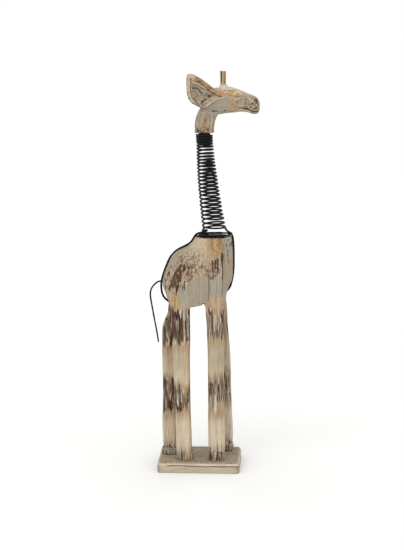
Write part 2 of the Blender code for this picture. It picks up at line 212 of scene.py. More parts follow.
def reskinned(name, mesh, cutters, voxel, smoothing):
    """One even skin round all the closed shapes in a bmesh, less the cutters; voxel is its fineness."""
    source = mesh_object(name + "_source", mesh)

    def remesh():
        skin = source.modifiers.new("skin", "REMESH")
        skin.mode = "VOXEL"
        skin.voxel_size = voxel * MM

    remesh()
    for cutter in cutters:
        cut = source.modifiers.new("cut", "BOOLEAN")
        cut.object = cutter
        cut.operation = "DIFFERENCE"
        cut.solver = "EXACT"
    remesh()
    smooth = source.modifiers.new("smooth", "SMOOTH")
    smooth.factor = 0.5
    smooth.iterations = smoothing
    evaluated = source.evaluated_get(bpy.context.evaluated_depsgraph_get())
    data = bpy.data.meshes.new_from_object(evaluated)
    data.name = name
    data.shade_smooth()
    obj = place(name, data)
    for used in (source, *cutters):
        bpy.data.objects.remove(used, do_unlink=True)
    return obj


def points_of(obj):
    """The vertices in millimetres and their normals."""
    data = obj.data
    co = np.empty(len(data.vertices) * 3, np.float32)
    data.vertices.foreach_get("co", co)
    normal = np.empty(len(data.vertices) * 3, np.float32)
    data.vertices.foreach_get("normal", normal)
    return co.reshape(-1, 3).astype(float) / MM, normal.reshape(-1, 3).astype(float)


def set_points(obj, co):
    obj.data.vertices.foreach_set("co", (co * MM).astype(np.float32).ravel())
    obj.data.update()


def paint(obj, **layers):
    """Named layers of paint strength or depth, one number at each vertex, that the materials read."""
    for name, values in layers.items():
        layer = obj.data.attributes.new(name, "FLOAT", "POINT")
        layer.data.foreach_set("value", np.asarray(values, np.float32))


def fit(obj, finish, body, slot, *nodes):
    """Give a piece its finish, and let it ride on a body in place of the CAD nodes."""
    obj.data.materials.append(finish)
    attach(obj, body)
    if nodes:
        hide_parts(*nodes)


def tube(name, path, radius, sides=12, wobble=0.0, seed=0):
    """A wire swept along a path in millimetres, with rounded ends. radius may differ from point to point."""
    path = np.asarray(path, float)
    radii = np.asarray(radius) * (1 + wobble * layered(path + seed * 17.3, 6.0, 3, seed))
    tangents = np.gradient(path, axis=0)
    tangents /= np.linalg.norm(tangents, axis=1)[:, None]
    side = np.cross(tangents[0], (0.0, 1.0, 0.0))
    if np.linalg.norm(side) < 0.1:
        side = np.cross(tangents[0], (1.0, 0.0, 0.0))
    side /= np.linalg.norm(side)
    rings = []
    for at, along, r in zip(path, tangents, radii):
        side = side - along * side.dot(along)
        side /= np.linalg.norm(side)
        rings.append((at, along, side, np.cross(along, side), r))

    def rounding(ring, way, shares):
        at, along, side, up, r = ring
        reach = way * along * r * 0.8
        return [(at + reach * (1 - s), along, side, up, r * math.sqrt(1 - (1 - s) ** 2)) for s in shares]

    rings = rounding(rings[0], -1, (0.35, 0.75)) + rings + rounding(rings[-1], 1, (0.75, 0.35))
    angles = np.linspace(0, 2 * math.pi, sides, endpoint=False)
    verts = [at + r * (math.cos(a) * side + math.sin(a) * up) for at, _, side, up, r in rings for a in angles]
    faces = []
    for low in range(0, len(verts) - sides, sides):
        high = low + sides
        faces += [(low + j, low + (j + 1) % sides, high + (j + 1) % sides, high + j) for j in range(sides)]
    faces += [tuple(reversed(range(sides))), tuple(range(len(verts) - sides, len(verts)))]
    data = bpy.data.meshes.new(name)
    data.from_pydata([tuple(v * MM) for v in verts], [], faces)
    data.validate()
    data.shade_smooth()
    return place(name, data)


# ---- Node material helpers ----
def linear(rgb):
    """An sRGB colour from 0 to 255 as scene-linear."""
    out = []
    for c in rgb:
        c /= 255
        out.append(c / 12.92 if c <= 0.04045 else ((c + 0.055) / 1.055) ** 2.4)
    return (*out, 1.0)


def arithmetic(operation):
    return lambda self, other: self.graph.math(operation, self, other)


class Value:
    """A number socket in a node tree, with arithmetic."""

    def __init__(self, graph, socket):
        self.graph, self.socket = graph, socket

    __add__ = __radd__ = arithmetic("ADD")
    __sub__ = arithmetic("SUBTRACT")
    __mul__ = arithmetic("MULTIPLY")

    def abs(self):
        return self.graph.math("ABSOLUTE", self)

    def clamp(self):
        return self.graph.math("ADD", self, 0.0, clamp=True)

    def waves(self):
        """Rises and falls evenly between 0 and 1."""
        return self.graph.math("PINGPONG", self, 1.0)

    def step(self, low, high):
        """0 below low, 1 above high, smooth between; high may be below low."""
        node = self.graph.add(
            "ShaderNodeMapRange", Value=self, From_Min=min(low, high), From_Max=max(low, high),
            To_Min=float(low > high), To_Max=float(low < high),
        )
        node.interpolation_type = "SMOOTHSTEP"
        return Value(self.graph, node.outputs["Result"])


class Graph:
    """A material's node tree. place is the point on the object and z its height, in millimetres."""

    def __init__(self, name):
        self.material = bpy.data.materials.new(name)
        self.material.use_nodes = True
        self.tree = self.material.node_tree
        coords = self.add("ShaderNodeTexCoord")
        scale = self.add("ShaderNodeVectorMath", "SCALE", Vector=coords.outputs["Object"], Scale=1 / MM)
        self.place = scale.outputs[0]
        split = self.add("ShaderNodeSeparateXYZ", Vector=self.place)
        self.z = Value(self, split.outputs["Z"])

    def add(self, kind, operation=None, **inputs):
        """A new node with its inputs set by name, where _ stands for a space."""
        node = self.tree.nodes.new(kind)
        if operation:
            node.operation = operation
        for name, value in inputs.items():
            self.feed(node.inputs[name.replace("_", " ")], value)
        return node

    def feed(self, socket, value):
        """Set a socket to a constant, or link it to a value or to another socket."""
        if isinstance(value, Value):
            value = value.socket
        if isinstance(value, bpy.types.NodeSocket):
            self.tree.links.new(value, socket)
        else:
            socket.default_value = value

    def math(self, operation, *values, clamp=False):
        node = self.add("ShaderNodeMath", operation)
        node.use_clamp = clamp
        for socket, value in zip(node.inputs, values):
            self.feed(socket, value)
        return Value(self, node.outputs[0])

    def layer(self, name):
        node = self.add("ShaderNodeAttribute")
        node.attribute_name = name
        return Value(self, node.outputs["Fac"])

    def multiply_add(self, *values):
        node = self.add("ShaderNodeVectorMath", "MULTIPLY_ADD")
        for socket, value in zip(node.inputs, values):
            self.feed(socket, value)
        return node.outputs[0]

    def stretched(self, size, shift):
        """Coordinates measured in blobs of this size."""
        return self.multiply_add(self.place, tuple(1 / s for s in size), shift)

    def noise(self, size, detail=3.0, rough=0.55, shift=0.0):
        """Noise centred on 0, mostly within 0.5 either way."""
        at = self.stretched(size, (shift, shift * 1.7, shift * 0.6))
        node = self.add("ShaderNodeTexNoise", Vector=at, Scale=1.0, Detail=detail, Roughness=rough)
        return (Value(self, node.outputs["Fac"]) - 0.5) * 2.0

    def cells(self, size, bend, shift):
        """Distance from the wandering lines between random cells of this size."""
        at = self.stretched(size, (shift, shift * 1.3, shift * 0.4))
        warp = self.add("ShaderNodeTexNoise", Vector=at, Scale=1.3, Detail=2.0)
        at = self.multiply_add(warp.outputs["Color"], (bend, bend, bend), at)
        node = self.add("ShaderNodeTexVoronoi", Vector=at, Scale=1.0)
        node.feature = "DISTANCE_TO_EDGE"
        return Value(self, node.outputs["Distance"])

    def mix(self, share, a, b):
        """Colour a where share is 0 and b where it is 1; each is an sRGB triple or a socket."""
        node = self.add("ShaderNodeMix")
        node.data_type = "RGBA"
        node.clamp_factor = True
        self.feed(node.inputs[0], share)
        for socket, colour in ((node.inputs[6], a), (node.inputs[7], b)):
            self.feed(socket, linear(colour) if isinstance(colour, tuple) else colour)
        return node.outputs[2]

    def coats(self, colour, *coats):
        """The colour under thin coats: each one's noise, gain and shift, its strength and its colour."""
        for source, gain, shift, strength, coat in coats:
            colour = self.mix((source * gain + shift).clamp() * strength, colour, coat)
        return colour

    def finish(self, colour, roughness, height=None, bump=0.3, metallic=0.0, specular=0.4):
        shader = self.tree.nodes["Principled BSDF"]
        inputs = {"Base Color": colour, "Roughness": roughness, "Metallic": metallic}
        inputs["Specular IOR Level"] = specular
        if height is not None:
            relief = self.add("ShaderNodeBump", Strength=bump, Distance=MM, Height=height)
            inputs["Normal"] = relief.outputs["Normal"]
        for name, value in inputs.items():
            self.feed(shader.inputs[name], value)
        return self.material


# ---- Materials ----
def patchy(layer, share, *parts):
    """A painted layer's cover, made uneven by noises and their gains."""
    cover = layer * share
    for source, gain in parts:
        cover = cover + layer * source * gain
    return cover.clamp()


def distressed_wood(name, along):
    """Whitewash rubbed over stained carved wood. along is the grain's direction: x or z.

    The layers painted on the pieces say where the stain and the wash lie: band (dark stained leg bands),
    dark, orange, grey, cream, crackle and black. cavity (grooves below 0, ridges above) lays painted shade in
    the grooves and a painted highlight on the ridges; shade lays painted shade, with some darker tone."""
    g = Graph(name)

    def lay(across, length):
        return (length, across, across) if along == "x" else (across, across, length)

    broad = g.noise(lay(14, 90), 2, 0.5, 3.1)
    strips = g.noise(lay(7.5, 260), 3, 0.55, 9.4)
    streak = g.noise(lay(4.2, 110), 4, 0.6, 1.7)
    fine = g.noise(lay(1.6, 36), 4, 0.68, 5.2)
    hair = g.noise(lay(0.6, 12), 3, 0.7, 8.8)
    speck = g.noise((2.2, 2.2, 2.6), 4, 0.65, 2.4)
    worn = g.noise(lay(3.0, 12), 4, 0.7, 31.4)
    wide = g.noise(lay(7.0, 150), 2, 0.5, 21.7)
    tint = g.noise(lay(4.6, 46), 3, 0.6, 43.9)
    band, black, cavity, cream, crackle, dark, grey, orange, shade = map(
        g.layer, ("band", "black", "cavity", "cream", "crackle", "dark", "grey", "orange", "shade"))

    # Stained and whitewashed wood everywhere, with long grain lines wandering side by side.
    figure = (g.noise(lay(5.2, 240), 3, 0.55, 27.3) * 7.0 + 4.0 + fine * 0.3).waves()
    colour = g.coats(
        (170, 151, 121), (broad, 2.0, 0.5, 1.0, (157, 147, 125)), (strips, 5.0, -0.2, 0.75, (180, 148, 112)),
        (strips, -5.0, -0.2, 0.75, (146, 140, 115)), (streak, 3.0, -0.4, 0.6, (136, 110, 80)),
        (streak, -3.0, -0.3, 0.6, (182, 172, 152)), (worn, 3.0, -0.6, 0.5, (192, 178, 152)),
        (worn, -3.0, -0.6, 0.5, (122, 102, 78)), (fine, 3.0, -0.35, 0.55, (198, 184, 157)),
        (fine, -3.0, -0.3, 0.6, (110, 90, 68)), (hair, -2.6, -0.3, 0.5, (98, 82, 62)),
        (figure, 4.0, -2.96, 0.55, (116, 98, 76)), (figure, -4.0, 0.88, 0.4, (196, 182, 156)),
    )

    grey_wash = g.coats(
        (158, 151, 138), (streak, 2.4, 0.5, 1.0, (140, 131, 114)), (fine, 3.0, -0.1, 0.55, (178, 170, 155)),
        (worn, -3.0, -0.4, 0.5, (120, 108, 88)),
    )
    colour = g.mix(patchy(grey, 1.3, (streak, 1.4), (worn, 0.8)) * 0.85, colour, grey_wash)
    stain = g.mix((streak * 2.2 + fine * 2.6 + 0.4).clamp(), (184, 150, 108), (134, 98, 62))
    stain = g.coats(stain, (worn, 2.6, -0.3, 0.55, (196, 176, 144)))
    colour = g.mix(patchy(orange, 1.3, (streak, 1.6), (worn, 0.9)) * 0.84, colour, stain)
    colour = g.mix(patchy(cream, 1.1, (fine, 1.4), (worn, 1.0)) * 0.78, colour, (210, 194, 170))

    # Dark stain in the bands, scraped through in straight upright streaks with chalky whitewash between them.
    # The streaks follow the contour lines of a smooth noise, so they swell, fork and close like wood figure.
    runs = (g.noise(lay(6.4, 70), 3, 0.58, 15.1) * 4.2 + 3.0 + fine * 0.35).waves()
    chalk = g.coats(
        (146, 134, 124), (tint, 4.0, 0.5, 1.0, (204, 190, 172)), (wide, 4.0, -0.3, 0.7, (146, 148, 130)),
        (streak, 4.0, -0.6, 0.8, (156, 122, 86)),
    )
    colour = g.mix((band * 1.8 - 0.4 + band * tint * 1.8).clamp() * 0.85, colour, chalk)
    stained = g.coats(
        (40, 19, 14), (tint, 4.0, 0.5, 1.0, (90, 52, 27)), (worn, 3.6, -0.9, 0.5, (128, 96, 70)),
    )
    ink = runs * 5.8 + wide * 3.0 + worn * 1.6 + band * 3.6 - 5.75
    colour = g.mix(ink.clamp() * band.step(0.02, 0.3) * 0.96, colour, stained)

    # Crackled paint: pale islands between wandering brown lines.
    wander = g.noise((8.5, 8.5, 9.5), 3, 0.62, 4.4).abs().step(0.075, 0.015)
    lines = g.cells((5.6, 5.6, 6.2), 1.4, 4.4).step(0.12, 0.02)
    small_lines = g.cells((3.6, 3.6, 4.0), 1.2, 7.9).step(0.13, 0.03)
    pale = g.coats(
        (206, 182, 156), (speck, 3.0, 0.5, 1.0, (180, 172, 154)), (worn, 3.0, -0.2, 0.75, (162, 134, 102)),
    )
    colour = g.mix(patchy(crackle, 1.2, (speck, 1.6)) * 0.85, colour, pale)
    small_lines = small_lines * (worn * 2.4 + 0.1).clamp()
    line_share = wander * 0.8 + lines * (speck * 3.0 + 0.45).clamp() + small_lines
    colour = g.mix((crackle * line_share).clamp() * 0.82, colour, (104, 74, 50))

    darkest = g.coats((46, 28, 20), (tint, 4.0, 0.5, 1.0, (86, 58, 38)))
    blotted = dark * 3.2 - 1.3 + runs * (dark * 4.0).clamp() * 1.1 + dark * worn * 1.8 + dark * speck * 1.2
    colour = g.mix(blotted.clamp() * 0.94, colour, darkest)
    # Painted shade darkens the grooves towards brown, and a painted highlight lightens the ridges towards
    # cream, both from the cavity layer.
    colour = g.mix((cavity * -1.4 + fine * 0.4 - 0.2).clamp() * 0.8, colour, (82, 62, 44))
    colour = g.mix((cavity * 1.3 + fine * 0.8 - 0.45 - band).clamp() * 0.55, colour, (218, 204, 178))
    # Painted shade from the shade layer on undersides, hollows and the base's top, with some darker tone in
    # places.
    colour = g.mix(shade * 0.3, colour, (104, 92, 72))
    colour = g.mix((black * 1.8 + black * speck * 0.8 - 0.25).clamp(), colour, (20, 20, 21))

    height = fine * 0.5 + hair * 0.3 + speck * 0.2 + worn * 0.3 - crackle * lines * 0.8
    rough = (0.76 + streak * 0.16 - black * 0.25).clamp()
    return g.finish(colour, rough, height, bump=0.5, specular=0.12)


def black_wire(name):
    g = Graph(name)
    speck = g.noise((1.2, 1.2, 1.2), 4, 0.6, 1.0)
    lumps = g.noise((6, 6, 6), 3, 0.5, 4.0)
    colour = g.coats((10, 10, 12), (speck, 1.8, 0.4, 1.0, (24, 24, 26)))
    colour = g.mix((lumps * 2.2 - 0.7 + speck * 0.5).clamp() * 0.4, colour, (38, 34, 30))
    height = speck * 0.5 + lumps * 0.5
    return g.finish(colour, (0.46 + speck * 0.25).clamp(), height, bump=0.35, specular=0.14)


def bare_dowel(name):
    g = Graph(name)
    grain = g.noise((1.2, 1.2, 24), 4, 0.6, 2.0)
    colour = g.coats((150, 112, 74), (grain, 1.8, 0.5, 1.0, (182, 146, 104)))
    # Painted shadow: the part of the peg that shows below the head is darkened to near black.
    colour = g.mix((g.z + grain * 2.0).step(584, 581), colour, (18, 17, 17))
    return g.finish(colour, (0.7 + grain * 0.1).clamp(), grain)


def screw_steel(name):
    g = Graph(name)
    speck = g.noise((0.8, 0.8, 0.8), 3, 0.6, 2.0)
    dull = g.noise((3, 3, 3), 3, 0.6, 6.0)
    colour = g.coats(
        (150, 148, 142), (speck, 1.5, 0.5, 1.0, (188, 186, 178)), (dull, 2.0, -0.3, 0.6, (120, 96, 72)),
    )
    return g.finish(colour, (0.42 + dull * 0.3).clamp(), speck, bump=0.2, metallic=0.9)


WOOD_UP = distressed_wood("whitewashed_wood_upright_grain", "z")
WOOD_FLAT = distressed_wood("whitewashed_wood_level_grain", "x")
WIRE = black_wire("black_painted_wire")
DOWEL = bare_dowel("bare_dowel_wood")
STEEL = screw_steel("dull_screw_steel")


# ---- Base plate ----
BASE_X, BASE_Y, BASE_Z = 72.3, 47.3, 18.0  # half length, half depth and height
BASE_CORNER = 5.0
# How far the plate's side stands in, and at what height
BASE_SIDE = ((1.0, 0.0), (0.2, 1.2), (0.0, 6.0), (0.0, 13.0), (0.7, 14.6), (2.6, 16.8), (4.6, BASE_Z))
SCREW_PLACES = ((-26, -20), (29.5, -20), (-52.5, 17.5), (44, 31))
SCREW_RECESS = ((4.1, -1.0), (4.1, 1.3), (2.2, 4.3), (2.2, 10.0))  # radius and height
GOUGE = [(-62, 12.6), (-40, 13.1), (-12, 12.7), (8, 12.0), (14, 11.7), (20, 12.4), (50, 12.9), (74, 12.4)]


def base_plate():
    mesh = bmesh.new()
    rings = []
    for inset, z in BASE_SIDE:
        ring = []
        for sx, sy in ((1, 1), (-1, 1), (-1, -1), (1, -1)):
            for step in range(5):
                angle = math.atan2(sy, sx) + (step - 2) * math.pi / 8
                reach = BASE_CORNER - inset
                x = sx * (BASE_X - BASE_CORNER) + reach * math.cos(angle)
                ring.append((x, sy * (BASE_Y - BASE_CORNER) + reach * math.sin(angle), z))
        rings.append(ring)
    add_loft(mesh, rings)
    cutters = [upright_bore("screw_recess", x, y, SCREW_RECESS) for x, y in SCREW_PLACES]
    obj = reskinned("carved_base_plate", mesh, cutters, voxel=0.95, smoothing=3)
    co, normal = points_of(obj)
    x, y, z = co.T
    side = ramp(0.3, 0.8, np.abs(normal[:, :2]).max(axis=1))
    front = ramp(0.5, 0.8, -normal[:, 1])
    top = ramp(0.6, 0.95, normal[:, 2])
    above = ramp(1.0, 3.0, z)
    wave = layered(co, (45, 30, 40), 2, 5) * 0.9
    planed = layered(co, (30, 5, 9), 2, 11) * 0.4
    grain = valleys(co, (22, 2.8, 2.8), 23)
    scratches = valleys(co, (7, 3.2, 3.2), 29, 3)
    edge = ramp(13.5, 16.5, z) * ramp(0.15, 0.6, np.hypot(normal[:, 0], normal[:, 1]))
    chips = edge * unit(layered(co, (8, 8, 6), 3, 41)) * 2.4
    wander = z + 0.6 * layered(co, (12, 12, 12), 2, 43)
    gouge_shape = bell(line_distance(x, wander, GOUGE), 0.75) * front
    gouge = gouge_shape * ramp(-66, -45, x)
    offset = wave * (0.25 + 0.75 * side) + planed - grain * 0.4 - scratches * 0.25 - chips - gouge * 1.5
    low = (np.minimum(offset, 0.0) * 0.9 + np.maximum(offset, 0.0) * 0.1 - 0.25) * above
    co = co + normal * low[:, None]
    # Both ends of the plank are sawn a little out of square.
    co[:, 0] -= ramp(0, 72, x) * ramp(30, -47, y) * 2.6
    co[:, 0] += ramp(0, -72, x) * ramp(-20, 47, y) * 1.5
    co[:, 2] = np.clip(co[:, 2], 0.0, BASE_Z - 0.05)
    set_points(obj, co)

    feet = unit(sum(blob(x, y, fx, fy, 18, 18) for fx, fy in SCREW_PLACES)) * top
    # A painted highlight along the bevel of the top edge, in the cream layer and on the ridge side of cavity.
    painted_bevel_highlight = bell(z - 15.6, 1.6) * side
    scribble = ramp(56, 66, x) * front * ramp(12, 6, z) * valleys(co, (5, 5, 3), 77, 3)
    blot = unit(layered(co, (16, 9, 9), 3, 57) * 2.2)
    stained_end = top * (0.15 + 0.5 * layered(co, (40, 14, 12), 2, 67)) * ramp(20, -30, x)
    # The front face is made lighter: partly pale wash, partly painted light falling from the front.
    pale_and_painted_lit_front = front * (1 - gouge) * ramp(70, 62, np.abs(x))
    paint(
        obj,
        # cavity: painted shade in the grain, scratches and gouge, and a painted highlight on the bevel.
        cavity=np.clip(0.3 - grain * 0.3 * (0.6 + top) - scratches * 0.5 - gouge * 1.2 + painted_bevel_highlight * 0.3, -1, 1),
        dark=unit(gouge * 0.8 + feet * 0.1 + scribble * 0.6 + 0.3 * top * scratches * blot),
        grey=unit(0.95 * side + 0.85 * top),
        orange=unit(stained_end + gouge_shape * 0.5),
        cream=unit(painted_bevel_highlight * (0.8 + 0.6 * noise(co, 14, 71)) + 0.5 * pale_and_painted_lit_front),
        crackle=0.5 * top,
        # Painted shade: the top face is darkened as if lit less than the front.
        shade=0.5 * top,
    )
    fit(obj, WOOD_FLAT, "stand", "whitewashed_wood", "base_plate")


# ---- Carved body and legs ----
TOP_Z = 406.2
# Height, rump ridge x, chest ridge x, half width, rump rounding, chest bevel
TORSO = [
    (282, -52.0, 44.5, 31.0, 8, 3), (292, -53.6, 45.2, 31.8, 9, 4), (301, -57.0, 45.8, 32.2, 11, 5),
    (310, -60.2, 47.2, 32.4, 15, 7), (320, -63.6, 51.0, 32.2, 19, 11), (332, -63.0, 55.8, 32.0, 22, 15),
    (345, -59.2, 57.0, 31.8, 25, 17), (357, -54.6, 57.3, 31.2, 27, 17), (367, -49.1, 57.0, 30.4, 28, 17),
    (375, -42.2, 56.8, 29.6, 28, 17), (381, -35.2, 56.6, 28.6, 27, 17), (386, -26.2, 56.2, 27.4, 26, 17),
    (390, -17.6, 55.8, 26.3, 24, 17), (396, -12.6, 55.4, 24.6, 24, 16), (TOP_Z, -7.0, 54.0, 22.2, 24, 12),
]
SIDE_BULGE = 0.03  # the right side is cut a little fuller than the left
UNDERSIDE_Z = 282
FOOT_Z, LEG_TOP_Z = 18.05, 302
# Height, rear x, front x
LEGS = {
    "hind_right": [
        (FOOT_Z, -39.5, -10.2), (24, -40.6, -11.0), (40, -41.2, -12.4), (62, -41.3, -13),
        (90, -41.8, -14.4), (116, -42.8, -15), (160, -44.3, -16), (206, -46.3, -16.2), (241, -47.3, -15.5),
        (268, -48.3, -15.4), (284, -49, -15.6), (302, -49, -14),
    ],
    "front_right": [
        (FOOT_Z, 14.8, 44.3), (24, 15.2, 43.8), (44, 15, 44.2), (70, 14.8, 44.0), (99, 14.3, 43.2),
        (130, 14.2, 42.8), (162, 14, 42.6), (207, 13.4, 42.8), (251, 11.6, 42.4), (274, 10.2, 42.3),
        (288, 9.3, 42.2), (302, 8, 42),
    ],
    "hind_left": [
        (FOOT_Z, -67.6, -38.0), (24, -67.8, -37.5), (27.5, -67.0, -38.0), (29.5, -64.6, -40.0),
        (36, -65.5, -40), (80, -66.8, -39), (130, -65.6, -38), (188, -66.6, -37), (238, -66.6, -36),
        (250, -65.0, -35), (261, -60.3, -33), (271, -56.6, -32), (302, -54, -30),
    ],
    "front_left": [
        (FOOT_Z, 31, 58.6), (24, 31, 59.0), (29, 31, 57.6), (32, 31, 55.6), (40, 31, 57.0), (63, 31, 57.2),
        (99, 31, 55.4), (135, 31, 54.3), (171, 30.5, 53.3), (207, 29.5, 51.2), (242, 28, 48.2),
        (286, 25, 45.2), (302, 24, 43),
    ],
}
LEG_Y = {"right": (-33.0, -7.5), "left": (4.0, 31.0)}
LEG_SPLAY = {"front_left": 16.0, "hind_left": -2.0}
# The hoof of a left leg: top of its ledge, and how far the ledge stands out
HOOF = {"hind_left": (29.0, 6.5), "front_left": (31.0, 2.5)}
# Where the saw ran on into the torso's underside: the slit's ends along x, and its top
SAW_SLIT, SAW_SLIT_TOP = ((5.0, -40), (7.8, -40), (8.0, 40), (5.2, 40)), 294.4
# Dark stained bands on each leg: height from, to, and strength
BANDS = {
    "hind_right": ((226, 283, 1.12), (104, 150, 0.74)),
    "front_right": ((236, 284, 0.74), (106, 164, 0.62)),
    "hind_left": ((213, 285, 1.02), (95, 154, 1.14)),
    "front_left": ((236, 276, 0.9), (114, 166, 0.5)),
}
# Stained areas on the right side of the shoulders and of the belly
SHIELD = [
    (-8, 410), (-5, 392), (6, 379), (10, 369), (13.5, 362), (20, 369), (31, 374), (38, 383), (42, 394),
    (43, 410),
]
# Dark strands of stain on the haunch: half width and route
HAUNCH_STRANDS = [
    (3.4, [(-29, 359), (-37, 348), (-43, 335), (-46, 319), (-45.5, 302)]),
    (2.8, [(-33, 352), (-40, 338), (-41, 322), (-39.5, 305)]),
    (2.2, [(-26, 354), (-33, 343), (-36.5, 329), (-36, 314)]),
    (1.8, [(-40, 344), (-48, 330), (-50, 316)]),
]
CRACKLE_AREA = [
    (-46, 350), (-40, 369), (-26, 382), (-12, 388), (-3, 382), (7, 371), (13, 361), (22, 366), (34, 376),
    (37.5, 360), (36, 346), (27, 338), (16, 333), (6, 343), (-6, 345), (-12, 334), (-22, 326), (-34, 330),
    (-44, 338),
]
# Cracks: route, depth, and strength of the dark in them
CRACKS = [
    ([(37.4, 380), (38.4, 366), (39.4, 350), (39.6, 337)], 1.5, 1.0),
    ([(39.6, 337), (39.4, 312)], 0.7, 0.45),
    ([(42.5, 403), (41.0, 392), (37.4, 380)], 0.5, 0.25),
    ([(15.0, 352), (15.4, 330), (16.0, 312), (15.2, 300)], 0.6, 0.55),
    ([(-33.0, 338), (-31.0, 320)], 0.7, 0.6),
    ([(-25.0, 333), (-24.6, 318)], 0.7, 0.6),
    ([(-29.0, 326), (-28.4, 312)], 0.5, 0.45),
    ([(22.0, 368), (22.5, 350)], 0.8, 0.8),
    ([(26.5, 369), (27.0, 355)], 0.8, 0.8),
    ([(30.5, 371), (31.5, 352), (31, 344)], 0.9, 0.9),
    ([(-18.5, 357), (-20.0, 344)], 0.8, 0.8),
]
SCRAPED_WEDGE = [(21, 292), (34, 292), (30, 262), (26, 244), (22, 262)]
BELOW_HAUNCH = [(-50, 314), (-47, 281), (-36, 281), (-36, 312)]
FRONT_PATCH = [(17, 307), (41, 306), (41, 287), (34, 284), (22, 290)]


def torso_ring(z, rear, front, half_width, rump, chest):
    """One outline of the torso: round at the rump, flat sides, bevelled at the chest."""
    side = []
    for i in range(13):
        angle = math.pi / 2 * i / 12
        side.append((rear + rump * (1 - math.cos(angle)), half_width * math.sin(angle)))
    side += [(x, half_width) for x in np.linspace(rear + rump, front - chest, 12)[1:]]
    side += [(front - chest * 0.5, half_width * 0.56), (front - chest * 0.09, half_width * 0.13), (front, 0)]
    # The torso's underside rises towards the front legs.
    fade = max(0.0, 1 - (z - UNDERSIDE_Z) / 18)
    side = [(x, y, z + fade * (5.4 + 4.4 * unit((x + 13) / 22))) for x, y in side]
    ring = [(x, -y * (1 + SIDE_BULGE), at) for x, y, at in side]
    return ring + [(x, y * (1 - SIDE_BULGE), at) for x, y, at in reversed(side[1:-1])]


def body_block():
    """The torso and the four legs as one block, less the saw slit."""
    mesh = bmesh.new()
    add_loft(mesh, [torso_ring(*row) for row in table(TORSO, 2.0)])
    for name, rows in LEGS.items():
        near, far = LEG_Y[name.split("_")[1]]
        ledge_z, ledge = HOOF.get(name, (0.0, 0.0))
        rings = []
        for z, rear, front in table(rows, 2.0):
            splay = LEG_SPLAY.get(name, 0.0) * (LEG_TOP_Z - z) / (LEG_TOP_Z - FOOT_Z)
            flare = ledge * ramp(ledge_z, ledge_z - 2.5, z) if ledge else 0.0
            pinch = 1.4 * bell(z - ledge_z - 1.5, 2.5) if ledge else 0.0
            low, high = near + splay - flare + pinch, far + splay * 0.92
            outline = superellipse((front - rear) / 2, (high - low) / 2, 4.2, 36)
            rings.append([((rear + front) / 2 + a, (low + high) / 2 + b, z) for a, b in outline])
        add_loft(mesh, rings)
    slit = bmesh.new()
    add_loft(slit, [[(x, y, z) for x, y in SAW_SLIT] for z in (UNDERSIDE_Z - 2, SAW_SLIT_TOP)])
    return reskinned("carved_body_with_legs", mesh, [mesh_object("saw_slit", slit)], voxel=1.22, smoothing=4)


